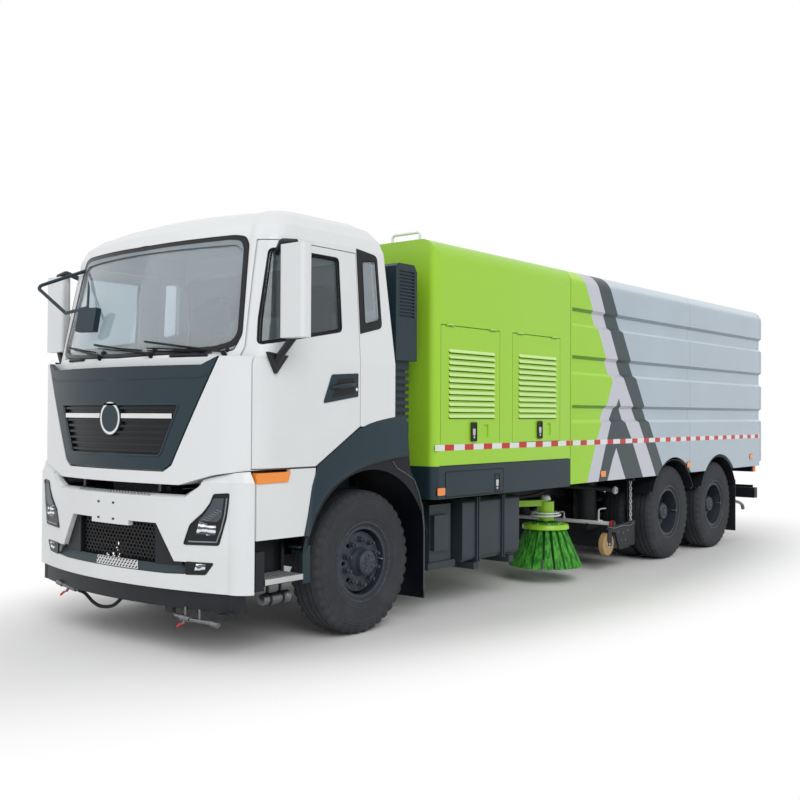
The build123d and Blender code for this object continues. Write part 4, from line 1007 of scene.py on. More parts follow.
FINISHES.update({
    "border_black": finish("Glazing border black", (0.008, 0.009, 0.011), 0.30, dust=0.03, bump=0.01,
                           specular=0.25),
    "rubber_black": finish("Seal rubber", (0.010, 0.010, 0.012), 0.68, dust=0.08, bump=0.12,
                           grain_scale=700, specular=0.2),
    "screen_grey": finish("Screen edge tint", (0.235, 0.285, 0.315), 0.15, dust=0.0, bump=0.01),
    # Lighter rubber for the sidewall rings, a painted highlight
    "tyre_ring_highlight": finish("Tyre ring", (0.040, 0.043, 0.048), 0.7, dust=0.2, bump=0.05),
    # A lighter copy of the slate, a painted highlight along the guard's edge
    "slate_painted_highlight": finish("Slate edge", (0.060, 0.080, 0.095), 0.35, dust=0.05),
    "amber": finish("Amber lens", (0.90, 0.27, 0.02), 0.18, coat=0.8, dust=0.12, bump=0.10,
                    grain_scale=140),
    "red_lens": finish("Red lens", (0.62, 0.02, 0.015), 0.2, coat=0.8, dust=0.2, bump=0.1,
                       grain_scale=140),
    "white_lens": finish("White lens", (0.78, 0.80, 0.80), 0.2, coat=0.8, dust=0.15, bump=0.1,
                         grain_scale=140),
    "dark_steel": finish("Dark zinc steel", (0.16, 0.17, 0.18), 0.35, metallic=0.9, dust=0.25,
                         bump=0.05, wear=0.3, wear_colour=(0.4, 0.4, 0.4)),
    "steel": finish("Bare steel", (0.58, 0.59, 0.60), 0.34, metallic=0.6, dust=0.20, bump=0.06),
    "red_paint": finish("Red handle plastic", (0.55, 0.02, 0.02), 0.35, dust=0.2),
})


def both_halves(points):
    """A right half outline from the middle outwards, with its left half added."""
    return [tuple(p) for p in points] + [(-x, z) for x, z in reversed(points) if x > 1e-6]


def spaced(outline, step):
    """An outline with points no further apart than a step."""
    result = []
    for index, end in enumerate(outline):
        start = outline[index - 1]
        parts = max(1, int(sqrt((end[0] - start[0]) ** 2 + (end[1] - start[1]) ** 2) / step))
        result += [between(start, end, k / parts) for k in range(1, parts + 1)]
    return result


def bead(surface, outline, radius, out=0.0, sides=8):
    """A round bead along a closed outline on a surface."""
    run = [surface(a, b, out) for a, b in spaced(outline, 0.05)]
    return tube_parts(run, radius, sides, closed=True)


def on_side(side):
    return lambda y, z, out=0.0: cab_side(y, z, out, side)


# The windscreen's outer edge, its border's inner edge and its tinted band's inner edge, as (X, Z)
SCREEN = rounded(both_halves(
    [(0.0, 2.895), (0.600, 2.903), (0.870, 2.908), (0.952, 2.894), (0.984, 2.840), (1.052, 2.200),
     (1.025, 2.125), (0.900, 2.092), (0.550, 2.072), (0.0, 2.060)]), 0.030)
SCREEN_CLEAR = rounded(both_halves(
    [(0.0, 2.866), (0.600, 2.874), (0.850, 2.879), (0.922, 2.866), (0.952, 2.815), (1.020, 2.215),
     (0.992, 2.155), (0.880, 2.122), (0.550, 2.101), (0.0, 2.089)]), 0.040)
SCREEN_GAP = rounded(both_halves(
    [(0.0, 2.897), (0.895, 2.838), (0.968, 2.785), (1.033, 2.153), (1.010, 2.092),
     (0.0, 2.069)]), 0.030)
build("screen_border", [sheet_on(cab_front, SCREEN, 0.0022, SCREEN_CLEAR, 0.0018)],
      "border_black", "cab")
build("screen_band", [sheet_on(cab_front, grown(SCREEN, -0.012), 0.0014, SCREEN_GAP, 0.0005)],
      "screen_grey", "cab")
build("screen_seal", [bead(cab_front, SCREEN, 0.0045, 0.001)], "rubber_black", "cab")

# Shapes on the cab's side, as (Y, Z)
DOOR_WINDOW = rounded(
    [(-4.445, 2.130), (-3.680, 2.265), (-3.680, 2.800), (-4.315, 2.800), (-4.420, 2.300)], 0.032)
QUARTER = rounded([(-3.420, 2.335), (-3.250, 2.375), (-3.265, 2.830), (-3.420, 2.815)], 0.03)
QUARTER_PANEL = rounded(
    [(-3.478, 2.258), (-3.222, 2.318), (-3.242, 2.872), (-3.478, 2.902)], [0.006, 0.04, 0.04, 0.006])
HANDLE = rounded(
    [(-3.890, 1.735), (-3.515, 1.790), (-3.515, 1.962), (-3.800, 1.945)], [0.025, 0.01, 0.01, 0.02])
HANDLE_BOWL = rounded([(-3.800, 1.775), (-3.560, 1.815), (-3.560, 1.925), (-3.730, 1.915)], 0.018)
# The lever's run as (Y, height out of the plate, radius)
LEVER = ((-3.820, 0.008, 0.006), (-3.790, 0.018, 0.014), (-3.72, 0.026, 0.019), (-3.65, 0.028, 0.019),
         (-3.58, 0.022, 0.014), (-3.550, 0.008, 0.006))
LOCK = [(0, 0.012), (0.012, 0.012), (0.014, 0.009), (0.014, 0.0)]

for side, turn in SIDES:
    skin = on_side(turn)
    door = "door_" + side
    seal = [bead(skin, DOOR_WINDOW, 0.008, -0.003),
            bead(skin, grown(DOOR_WINDOW, -0.014), 0.006, -0.010)]
    build("window_seal_" + side, seal, "rubber_black", door)
    build("quarter_panel_" + side, [sheet_on(skin, QUARTER_PANEL, 0.0025, QUARTER, 0.0008)],
          "border_black", "cab")
    build("quarter_seal_" + side, [bead(skin, QUARTER, 0.005, 0.001)], "rubber_black", "cab")
    build("handle_plate_" + side, [sheet_on(skin, HANDLE, 0.005, None, 0.0005)], "slate", door,
          bevel=0.002)
    build("handle_bowl_" + side, [sheet_on(skin, HANDLE_BOWL, 0.0012, None, 0.0056)],
          "border_black", door)
    lever = [skin(y, 1.862 + 0.12 * (y + 3.70), out) for y, out, _ in LEVER]
    build("handle_lever_" + side, [tube_parts(lever, [thick for _, _, thick in LEVER], 12)],
          "slate", door)
    build("handle_lock_" + side, [lathe_parts(LOCK, skin(-3.540, 1.842, 0.0), "X", 20, turn)],
          "chrome", door)


# Cab's front: flap with its grille, grips, wipers, lamps and bumper

def bumper_face(x, z, out=0.0):
    return cab_front(x, z, out, bumper=True)


def strip_on(surface, line, half, thickness, out=0.0):
    """A raised strip along a line of points (a, b) on a surface."""
    outline = [(a, b + half) for a, b in line] + [(a, b - half) for a, b in reversed(line)]
    return sheet_on(surface, outline, thickness, None, out, cell=0.05)


GRILLE_TOP, GRILLE_BOTTOM = (0.700, 1.722), (0.530, 1.364)      # its corners, as (half width, Z)
GRILLE = both_halves([(0.0, GRILLE_TOP[1]), GRILLE_TOP, GRILLE_BOTTOM, (0.0, GRILLE_BOTTOM[1])])
CREASE = [(-0.93, 1.925), (-0.86, 1.905), (0.0, 1.900), (0.86, 1.905), (0.93, 1.925)]
build("grille_frame", [bead(cab_front, rounded(GRILLE, 0.03), 0.010, -0.003)], "flap", "front_flap")
build("flap_crease", [strip_on(cab_front, CREASE, 0.006, 0.004, -0.001)], "slate", "front_flap",
      bevel=0.002)
build("grille_floor", [sheet_on(cab_front, rounded(GRILLE, 0.02), 0.002, None, -0.0275)],
      "border_black", "front_flap")
bars = []
for z in (1.385 + 0.043 * k for k in range(8)):
    half = 0.530 + 0.170 * (z - 1.364) / 0.358 - 0.022
    line = [(x * half / 8, z + 0.009) for x in range(-8, 9)]
    bars.append(strip_on(cab_front, line, 0.007, 0.004, -0.0085))
build("grille_bars", bars, "border_black", "front_flap", bevel=0.002)
bright_bar = [strip_on(cab_front, [(turn * x / 100, 1.640) for x in (13, 25, 35, 45, 55, 64)],
                       0.0175, 0.010, -0.004) for _, turn in SIDES]
build("grille_bright_bar", bright_bar, "chrome", "front_flap", bevel=0.004, segments=3)

# Grips under the windscreen: ends' X and height
for side, x0, x1, z in (("left", 0.530, 0.835, 2.058), ("right", -0.800, -0.480, 2.064)):
    run = ((x0, 0, -0.004, 0.009), (x0 + 0.02, 0, 0.009, 0.012), (x0 + 0.05, 0.002, 0.012, 0.013),
           ((x0 + x1) / 2, 0.004, 0.013, 0.013), (x1 - 0.05, 0.002, 0.012, 0.013),
           (x1 - 0.02, 0, 0.009, 0.012), (x1, 0, -0.004, 0.009))
    grip = tube_parts([cab_front(x, z + rise, out) for x, rise, out, _ in run],
                      [thick for *_, thick in run], 12)
    build("screen_grip_" + side, [grip], "black_plastic", "cab")

# Wipers' pivots and tips, as (X, Z)
WIPERS = (((0.973, 2.078), (0.314, 2.116)), ((0.375, 2.092), (-0.283, 2.152)),
          ((-0.209, 2.096), (-0.717, 2.158)))
HUB_LOWEST = 2.092      # clear of the front flap when it is up
blades, hubs = [], []
for pivot, tip in WIPERS:
    run = [between(between(pivot, tip, 0.16), tip, k / 10) for k in range(11)]
    spine = [cab_front(x, z + 0.004, 0.030 - 0.012 * abs(k / 5 - 1)) for k, (x, z) in enumerate(run)]
    blades.append(tube_parts(spine, 0.0055, 6))
    blades.append(tube_parts([cab_front(x, z - 0.012, 0.010) for x, z in run], 0.004, 6))
    hubs.append(lathe_parts([(-0.03, 0.015), (0.009, 0.015), (0.014, 0.010), (0.014, 0.0)],
                            cab_front(pivot[0], max(pivot[1] + 0.006, HUB_LOWEST)), "Y", 20, -1))
build("wiper_blades", blades, "rubber_black", "cab")
build("wiper_hubs", hubs, "black_plastic", "cab")


# Headlamps: dark bowl with a grey inner panel, a dim light line and a reflector behind the lens

# Outlines on the bumper's left half, as (X, Z)
HEADLAMP = [(0.991, 1.116), (1.107, 1.125), (1.084, 0.965), (1.029, 0.782), (0.752, 0.773),
            (0.804, 0.904), (0.909, 0.989), (0.965, 1.055)]
LAMP_PANEL = [(0.988, 1.090), (1.070, 1.095), (1.050, 0.965), (1.020, 0.935), (0.870, 0.935),
              (0.925, 0.985), (0.972, 1.050)]
LAMP_LINE = ((1.091, 1.095), (1.076, 0.985), (1.050, 0.885), (1.016, 0.800), (0.920, 0.796),
             (0.795, 0.793))
FOG = [(0.770, 0.569), (0.930, 0.578), (0.990, 0.655), (0.770, 0.652)]
# Reflectors' corners, two below and two above
LAMP_EYES = (((0.856, 0.846), (0.945, 0.848), (0.880, 0.935), (0.950, 0.918)),
             ((0.938, 0.842), (1.008, 0.848), (0.944, 0.905), (1.012, 0.915)))
FOG_EYE = ((0.846, 0.600), (0.925, 0.604), (0.858, 0.645), (0.938, 0.648))


def eye(turn, corners, columns, rows, bulge):
    """A domed reflector over corners on the bumper's face, facing outwards on both sides."""
    points = [bumper_face(turn * x, z, 0.003) for x, z in corners]
    order = (0, 1, 2, 3) if turn > 0 else (1, 0, 3, 2)
    return patch_parts(corners_of(*(points[k] for k in order)), columns, rows, 0.003, bulge)


for side, turn in SIDES:
    lamp = [(turn * x, z) for x, z in HEADLAMP]
    bowl = rounded(grown(lamp, -0.004), 0.012)
    build("headlamp_bowl_" + side, [sheet_on(bumper_face, bowl, 0.0015, None, 0.0012)],
          "border_black", "chassis")
    build("headlamp_rim_" + side, [bead(bumper_face, rounded(lamp, 0.014), 0.006, 0.001)],
          "border_black", "chassis")
    panel = rounded([(turn * x, z) for x, z in LAMP_PANEL], 0.010)
    build("headlamp_panel_" + side, [sheet_on(bumper_face, panel, 0.002, None, 0.0028)],
          "lamp_grey", "chassis")
    line = [bumper_face(turn * x, z, 0.0045) for x, z in LAMP_LINE]
    build("headlamp_line_" + side, [tube_parts(line, 0.0055, 8)], "lamp_line", "chassis")
    ribs = [tube_parts([bumper_face(turn * (0.905 + 0.022 * k), 0.950 + 0.013 * k, 0.0055),
                        bumper_face(turn * (0.955 + 0.019 * k), 0.940 + 0.013 * k, 0.0055)], 0.0022, 6)
            for k in range(6)]
    build("headlamp_ribs_" + side, ribs, "lamp_line", "chassis")
    eyes = [eye(turn, corners, 8, 8, bulge) for corners, bulge in zip(LAMP_EYES, (0.012, 0.014))]
    build("headlamp_eyes_" + side, eyes, "reflector", "chassis")
    fog = rounded([(turn * x, z) for x, z in FOG], 0.012)
    build("fog_bowl_" + side, [sheet_on(bumper_face, fog, 0.0015, None, 0.0012)],
          "border_black", "chassis")
    build("fog_rim_" + side, [bead(bumper_face, fog, 0.004, 0.001)], "border_black", "chassis")
    build("fog_eye_" + side, [eye(turn, FOG_EYE, 10, 6, 0.010)], "reflector", "chassis")


# Bumper: sloped top with its tread plate, wing lips, tab slots, mesh and lower ledge

def band_on(surface, low, high, columns, thickness=0.003):
    """A sheet between two rows of (x, z, out) points on a surface."""
    points, faces = [], []
    for lift in (0.0, -thickness):
        for row in (low, high):
            for k in range(columns + 1):
                t = k / columns * (len(row) - 1)
                i = min(int(t), len(row) - 2)
                x, z, out = between(row[i], row[i + 1], t - i)
                points.append(surface(x, z, out + lift))
    wide = columns + 1
    for k in range(columns):
        faces += [(k, k + 1, wide + k + 1, wide + k),
                  (2 * wide + k, 3 * wide + k, 3 * wide + k + 1, 2 * wide + k + 1),
                  (k, 2 * wide + k, 2 * wide + k + 1, k + 1),
                  (wide + k, wide + k + 1, 3 * wide + k + 1, 3 * wide + k)]
    faces += [(0, wide, 3 * wide, 2 * wide),
              (columns, 2 * wide + columns, 3 * wide + columns, wide + columns)]
    return points, faces


def both_ends(row):
    """A row of (x, z, out) points from the right end to the middle, with its left half added."""
    return row + [(-x, z, out) for x, z, out in reversed(row)]


top = band_on(bumper_face, [(-0.75, 1.083, -0.004), (0.75, 1.083, -0.004)],
              [(-0.72, 1.101, -0.052), (0.72, 1.101, -0.052)], 30)
end = band_on(bumper_face, [(0.75, 1.083, -0.004), (0.885, 1.172, -0.004), (0.905, 1.196, -0.006)],
              [(0.72, 1.101, -0.052), (0.83, 1.158, -0.048), (0.885, 1.213, -0.036)], 8)
build("bumper_top", [top, end, mirror_x(end)], "cab_white", "chassis")
lip = band_on(bumper_face, [(0.900, 1.194, -0.005), (1.245, 1.194, -0.005)],
              [(0.885, 1.212, -0.036), (0.970, 1.232, -0.030), (1.12, 1.262, -0.026),
               (1.235, 1.272, -0.024)], 14)
build("bumper_lips", [lip, mirror_x(lip)], "cab_white", "chassis")


def upper_step(u, v):
    return bumper_face(-0.43 + 0.86 * u, 1.084 + 0.015 * v, -0.005 - 0.042 * v)


def lower_step(u, v):
    return bumper_face(-0.150 + 0.48 * u - 0.05 * v, 0.565 + 0.053 * v, -0.003 - 0.040 * v)


perforated("upper_step", upper_step, 25, 3, 0.0075, "chassis")
# The tab slots are dark sheets on the bumper's face, painted shade for the openings
slots = [sheet_on(bumper_face, rounded(around(x, z, 0.014, 0.008), 0.005), 0.0008, None, 0.0003)
         for x in (-0.131, 0.050) for z in (1.016, 0.901)]
build("tab_slots", slots, "border_black", "chassis")
ledge = band_on(bumper_face,
                both_ends([(-0.98, 0.588, -0.012), (-0.60, 0.561, -0.004)]),
                both_ends([(-0.72, 0.628, -0.046), (-0.46, 0.618, -0.046)]), 30)
build("opening_ledge", [ledge], "slate", "chassis")
perforated("lower_step", lower_step, 14, 3, 0.009, "chassis")
cells = []
for row in range(11):
    for column in range(22 + (row + 1) % 2):
        x, z = -0.440 + 0.0400 * (column + 0.5 * (row % 2)), 0.632 + 0.0262 * row
        six = [(cos(t), sin(t)) for t in circle(6, 0.5)]
        hole = [(x + 0.0165 * a, z + 0.0135 * b) for a, b in six]
        edge = [(x + 0.0232 * a, z + 0.0176 * b) for a, b in six]
        cells.append(ring_parts(hole, edge, -4.706, -4.699, "XZ"))
build("bumper_mesh", cells, "border_black", "chassis")


# Wheels: tyres with ribs, grooves and shoulder blocks, nuts and hub trim

# Half a tyre's section as (distance from its middle, radius): bead to shoulder, then tread and grooves
TYRE_HALF = [(0.108, 0.262), (0.118, 0.270), (0.122, 0.284), (0.131, 0.300), (0.139, 0.330),
             (0.1435, 0.365), (0.1445, 0.400), (0.1435, 0.435), (0.140, 0.465), (0.1385, 0.468),
             (0.1375, 0.472), (0.137, 0.490), (0.132, 0.512), (0.122, 0.527), (0.112, 0.5335)]
TREAD_HALF = [(0.085, 0.5395), (0.084, 0.5270), (0.076, 0.5270), (0.075, 0.5405), (0.035, 0.5420),
              (0.034, 0.5285), (0.026, 0.5285), (0.025, 0.5425)]


def tyre_parts(x, y, z, turn, steps=120):
    """A tyre: bead, sidewall, shoulder notches and grooves round a wavy tread."""
    half = TYRE_HALF + TREAD_HALF
    profile = half + [(-along, radius) for along, radius in reversed(half)]
    points, faces = [], []
    count, shoulder = len(profile), len(TYRE_HALF)
    for step, angle in enumerate(circle(steps)):
        for index, (along, radius) in enumerate(profile):
            near = index if index < len(half) else count - 1 - index
            if shoulder - 4 <= near < shoulder and step % 3 == 0:
                radius -= 0.014
                along *= 0.955
            if near > shoulder and radius > 0.535:
                along += 0.003 * sin(step * 2 * pi / 6)
            points.append((x + turn * along, y + radius * cos(angle), z + radius * sin(angle)))
    for step in range(steps):
        after = (step + 1) % steps
        for index in range(count):
            other = (index + 1) % count
            faces.append((step * count + index, step * count + other,
                          after * count + other, after * count + index))
    return points, faces


def ring_of(place, radius, count, centre, start=0.0):
    """Parts from place(point) at equal steps round a centre in a plane across X."""
    x, y, z = centre
    return [place((x, y + radius * cos(angle), z + radius * sin(angle)))
            for angle in circle(count, start)]


def nut(turn, size, length):
    """A maker of flanged nuts with their stud ends."""
    section = [(-0.004, size * 1.35), (0.004, size * 1.35), (0.004, size), (length * 0.7, size),
               (length * 0.8, size * 0.62), (length * 1.25, size * 0.60), (length * 1.25, 0.0)]
    return lambda point: lathe_parts(section, point, "X", 6, turn)


def sidewall_rings(x, y, turn):
    """Fine raised rings on a tyre's side, in a lighter rubber as a painted highlight."""
    return [hoop_parts([(along - 0.004, r - 0.005), (along + 0.0018, r - 0.002),
                        (along + 0.0018, r + 0.002), (along - 0.004, r + 0.005)],
                       (turn * x, y, HUB_Z), "X", 80, turn)
            for along, r in ((0.1425, 0.345), (0.1430, 0.442), (0.1400, 0.466))]


FLANGE = [(0.126, 0.287), (0.133, 0.291), (0.136, 0.299), (0.133, 0.305), (0.126, 0.307)]
TRIM_RING = [(0.0, 0.226), (0.004, 0.222), (0.005, 0.214), (0.0, 0.210)]
HUB_CAP = [(0.0, 0.034), (0.004, 0.034), (0.006, 0.028), (0.006, 0)]
# Place, Y, tyres' X, then the X of the nuts' face, of the trim ring and of the hub's end
AXLES = (("front", FRONT_AXLE, (1.050,), 1.142, 1.126, 1.235),
         ("rear_1", REAR_AXLES[0], (1.070, 0.745), 0.9215, 0.998, 1.145),
         ("rear_2", REAR_AXLES[1], (1.070, 0.745), 0.9215, 0.998, 1.145))

for side, turn in SIDES:
    for place, y, xs, face, ring_x, hub_end in AXLES:
        front = place == "front"
        body = "front_wheel_" + side if front else f"rear_wheel_{place[-1]}_{side}"
        node = "front_tyre_" + side if front else f"rear_tyres_{place[-1]}_{side}"
        middle = (turn * xs[0], y, HUB_Z)
        rubber = build(f"tyre_{place}_{side}", [tyre_parts(turn * x, y, HUB_Z, turn) for x in xs],
                       "tyre", body, smooth=28)
        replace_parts(rubber, node)
        build(f"rim_flange_{place}_{side}", [hoop_parts(FLANGE, middle, "X", 72, turn)],
              "wheel_grey", body)
        build(f"sidewall_rings_{place}_{side}", sidewall_rings(xs[0], y, turn), "tyre_ring_highlight", body)
        nuts = ring_of(nut(turn, 0.0200, 0.046), 0.1675, 10, (turn * face, y, HUB_Z), 0.5)
        build(f"wheel_nuts_{place}_{side}", nuts, "wheel_grey", body)
        trim = [hoop_parts(TRIM_RING, (turn * ring_x, y, HUB_Z), "X", 64, turn)]
        trim += ring_of(nut(turn, 0.007, 0.006), 0.052, 8, (turn * (hub_end + 0.0005), y, HUB_Z))
        trim.append(lathe_parts(HUB_CAP, (turn * (hub_end - 0.0005), y, HUB_Z), "X", 32, turn))
        build(f"wheel_trim_{place}_{side}", trim, "wheel_grey", body)
        valve = smooth_path([(turn * (xs[0] + 0.060), y + 0.240, HUB_Z),
                             (turn * (xs[0] + 0.090), y + 0.236, HUB_Z),
                             (turn * (xs[0] + 0.120), y + 0.226, HUB_Z)], 4)
        build(f"tyre_valve_{place}_{side}", [tube_parts(valve, 0.0045, 8)], "steel", body)


# Front arches: a curved flare with a rolled inner lip, and the guard's edge behind the wheel in a
# lighter slate as a painted highlight

FLARE_OUTER = [(-4.072, 0.812), (-4.036, 0.949), (-3.994, 1.158), (-3.952, 1.262), (-3.905, 1.317),
               (-3.810, 1.372), (-3.680, 1.449), (-3.540, 1.532), (-3.400, 1.585), (-3.266, 1.614),
               (-3.100, 1.638), (-2.950, 1.652)]
FLARE_STEPS = 36
# Across the flare: share of the way from its outer to its inner edge, and X
FLARE_SECTION = ((0.0, 1.2504), (0.05, 1.2570), (0.30, 1.2660), (0.62, 1.2740), (0.86, 1.2790),
                 (0.97, 1.2760), (1.0, 1.2660), (0.985, 1.2504))
GUARD_EDGE = ((-3.113, 1.299), (-3.058, 1.242), (-2.948, 1.196), (-2.845, 1.145), (-2.786, 1.045),
              (-2.735, 0.909), (-2.711, 0.736), (-2.711, 0.250))


def sampled(line, count):
    """Points at equal parts of a line's length."""
    reach = [0.0]
    for a, b in zip(line, line[1:]):
        reach.append(reach[-1] + sqrt((b[0] - a[0]) ** 2 + (b[1] - a[1]) ** 2))
    result = []
    for k in range(count + 1):
        at = reach[-1] * k / count
        i = max(j for j in range(len(line) - 1) if reach[j] <= at + 1e-9)
        share = min(1.0, (at - reach[i]) / (reach[i + 1] - reach[i]))
        result.append(between(line[i], line[i + 1], share))
    return result


for side, turn in SIDES:
    points, faces = [], []
    for a, b in zip(sampled(FLARE_OUTER, FLARE_STEPS), sampled(WELL, FLARE_STEPS)):
        points += [(turn * x, *between(a, b, u)) for u, x in FLARE_SECTION]
    size = len(FLARE_SECTION)
    for k in range(FLARE_STEPS):
        for j in range(size):
            i = (j + 1) % size
            faces.append((k * size + j, k * size + i, (k + 1) * size + i, (k + 1) * size + j))
    faces += [tuple(range(size)), tuple(range(len(points) - size, len(points)))]
    build("arch_flare_" + side, [(points, faces)], "slate", "chassis", smooth=50)
    edge = [(turn * 1.2515, y, z) for y, z in GUARD_EDGE]
    build("guard_edge_" + side, [tube_parts(edge, 0.006, 8)], "slate_painted_highlight", "chassis")


# Body: tape, markers, latches, gaskets and the skirt's lid

def tape_colours(n):
    """Red and white blocks in turn along the truck, with a fine honeycomb."""
    place = n.math("FRACT", n.math("DIVIDE", n.math("ADD", n.axes()[1], 10.341), 0.281))
    red = n.both(n.ramp(place, 0.005, 0.012), n.outside(n.ramp(place, 0.462, 0.470)))
    cells = n.add("ShaderNodeTexVoronoi", feature="DISTANCE_TO_EDGE")
    cells.inputs["Scale"].default_value = 260
    n.join(n.place(), cells.inputs["Vector"])
    web = n.outside(n.ramp(cells.outputs["Distance"], 0.02, 0.10))
    return n.mix(n.math("MULTIPLY", web, 0.18), n.mix(red, TAPE_WHITE, TAPE_RED), (0.30, 0.30, 0.30))


def cross_tape_colours(n):
    """The same blocks across the truck."""
    place = n.math("FRACT", n.math("DIVIDE", n.math("ADD", n.axes()[0], 10.0), 0.30))
    return n.mix(n.ramp(place, 0.495, 0.505), TAPE_RED, TAPE_WHITE)


TAPE_WHITE, TAPE_RED = (0.78, 0.80, 0.80), (0.55, 0.010, 0.010)
FINISHES["tape"] = finish("Red and white reflective tape", tape_colours, 0.38, coat=0.05, dust=0.06,
                          dust_top=1.6)
FINISHES["cross_tape"] = finish("Cross tape", cross_tape_colours, 0.38, coat=0.05, dust=0.2)

TAPE_LOW, TAPE_HIGH, TAPE_THICK = 1.363, 1.412, 0.0012
# Tapes by body: ends' Y
TAPES = (("housing", "chassis", -2.600, -0.430), ("container", "container", -0.410, 4.728))
# Side lamps: Y, height and body
MARKERS = ((-2.523, 1.030, "chassis"), (0.240, 1.060, "container"), (2.373, 1.080, "container"),
           (4.413, 1.117, "container"))
# Paddle latches: Y, height, body and the X of the panel; a body's name that ends in _ takes the side
LATCHES = ((-2.072, 1.515, "hatch_1_", 1.287), (-1.006, 1.523, "hatch_2_", 1.287),
           (-1.700, 1.066, "chassis", SIDE))
LATCH_LOCK = [(0.001, 0.011), (0.0055, 0.011), (0.0065, 0.008), (0.0065, 0)]
SKIRT_LID = rounded(rectangle((-2.455, 0.985), (-1.610, 1.182)), 0.012)
SKIRT_SEAM_Z = 1.2385


def studs(points, radius, height, sides, turn):
    """Low round heads on a face across X."""
    head = [(0, radius), (height * 0.6, radius), (height, radius * 0.6), (height, 0)]
    return [lathe_parts(head, point, "X", sides, turn) for point in points]


def latch_parts(y, z, x, turn):
    """A paddle latch: a black plate with a recessed cup, a bright paddle and a lock."""
    plate = rounded(around(y, z, 0.042, 0.082), 0.01)
    cup = rounded(around(y, z, 0.030, 0.066), 0.008)
    black = [ring_parts(cup, plate, turn * (x + 0.0002), turn * (x + 0.0055)),
             plate_parts(cup, turn * (x + 0.0002), turn * (x + 0.0012))]
    paddle = rounded([(y - 0.017, z - 0.030), (y + 0.017, z - 0.030), (y + 0.020, z + 0.026),
                      (y - 0.020, z + 0.026)], 0.006)
    bright = [plate_parts(paddle, turn * (x + 0.0012), turn * (x + 0.0048)),
              lathe_parts(LATCH_LOCK, (turn * x, y, z - 0.047), "X", 16, turn)]
    return black, bright


for side, turn in SIDES:
    x = turn * SIDE
    for name, body, front, rear in TAPES:
        tape = rounded(rectangle((front, TAPE_LOW), (rear, TAPE_HIGH)), 0.003, 2)
        build(f"tape_{name}_{side}", [plate_parts(tape, x, x + turn * TAPE_THICK)], "tape", body)
    for body in ("chassis", "container"):
        lens, base = [], []
        for y, z, on in MARKERS:
            if on == body:
                shape = rounded(around(y, z, 0.050, 0.031), 0.010)
                base.append(plate_parts(grown(shape, 0.004), x, x + turn * 0.004))
                lens.append(plate_parts(shape, x + turn * 0.003, x + turn * 0.011))
                lens += studs([(x + turn * 0.010, y - 0.030 + 0.02 * k, z + rise)
                               for k in range(4) for rise in (-0.012, 0.012)], 0.008, 0.003, 8, turn)
        build(f"marker_lenses_{body}_{side}", lens, "amber", body, bevel=0.002)
        build(f"marker_bases_{body}_{side}", base, "black_plastic", body)
    for index, (y, z, on, level) in enumerate(LATCHES):
        body = on + side if on.endswith("_") else on
        black, bright = latch_parts(y, z, level, turn)
        build(f"latch_plate_{index}_{side}", black, "black_plastic", body)
        build(f"latch_paddle_{index}_{side}", bright, "steel", body, bevel=0.001)
    build("skirt_lid_" + side, [plate_parts(SKIRT_LID, x, x + turn * 0.0028)], "slate", "chassis",
          bevel=0.0012)
    seam = [(x + turn * 0.001, y, z) for y, z in spaced(grown(SKIRT_LID, 0.006), 0.08)]
    build("skirt_lid_seam_" + side, [tube_parts(seam, 0.0022, 6, closed=True)],
          "rubber_black", "chassis")
    drip = [(x + turn * 0.001, y, SKIRT_SEAM_Z) for y in (-2.54, -1.5, -0.46)]
    build("skirt_seam_" + side, [tube_parts(drip, 0.003, 6)], "rubber_black", "chassis")
# Brushes: rim plate, bolts, motor cap, spray ring and water hose

BRUSH_RIM = [(0.520, 0.236), (0.548, 0.234), (0.566, 0.222), (0.570, 0.190), (0.5645, 0.10),
             (0.5645, 0.06)]
BRUSH_BOLT = [(0.566, 0.011), (0.578, 0.011), (0.580, 0.008), (0.580, 0)]
MOTOR_CAP = [(0.7850, 0.052), (0.800, 0.052), (0.826, 0.044), (0.836, 0.030), (0.840, 0.0)]
BRUSH_HOSE = [(0.93, -1.128, 0.64), (0.95, -1.10, 0.76), (0.97, -0.98, 0.855), (0.96, -0.62, 0.875),
              (0.88, -0.26, 0.890), (0.76, -0.14, 0.905), (0.60, -0.14, 0.905), (0.44, -0.16, 0.910)]


def on(turn, points):
    """Points of the left side, put on the side that turn names."""
    return [(turn * x, y, z) for x, y, z in points]


for side, turn in SIDES:
    x, y = turn * BRUSH[0], BRUSH[1]
    build("brush_rim_" + side, [lathe_parts(BRUSH_RIM, (x, y, 0.0), "Z", 72)], "lime", "brush_" + side)
    bolts = [lathe_parts(BRUSH_BOLT, (x + 0.15 * cos(a), y + 0.15 * sin(a), 0), "Z", 6)
             for a in circle(8)]
    build("brush_bolts_" + side, bolts, "steel", "brush_" + side)
    rings = [tube_parts([(x + radius * cos(a), y + radius * sin(a), z + rise * sin(a))
                         for a in circle(40)], thick, 10, closed=True)
             for radius, z, rise, thick in ((0.150, 0.655, 0.006, 0.010), (0.134, 0.676, 0.0, 0.009))]
    build("brush_spray_ring_" + side, rings, "white_lens", "brush_arm_" + side)
    build("brush_hose_" + side, [tube_parts(smooth_path(on(turn, BRUSH_HOSE)), 0.016, 12)],
          "rubber_black", "chassis")
    build("motor_cap_" + side, [lathe_parts(MOTOR_CAP, (x, y, 0.016), "Z", 28)],
          "white_lens", "brush_arm_" + side)


# Nozzle: spray bar with red ends and cranked handles, chain, plate trim, castor hub and water pipe

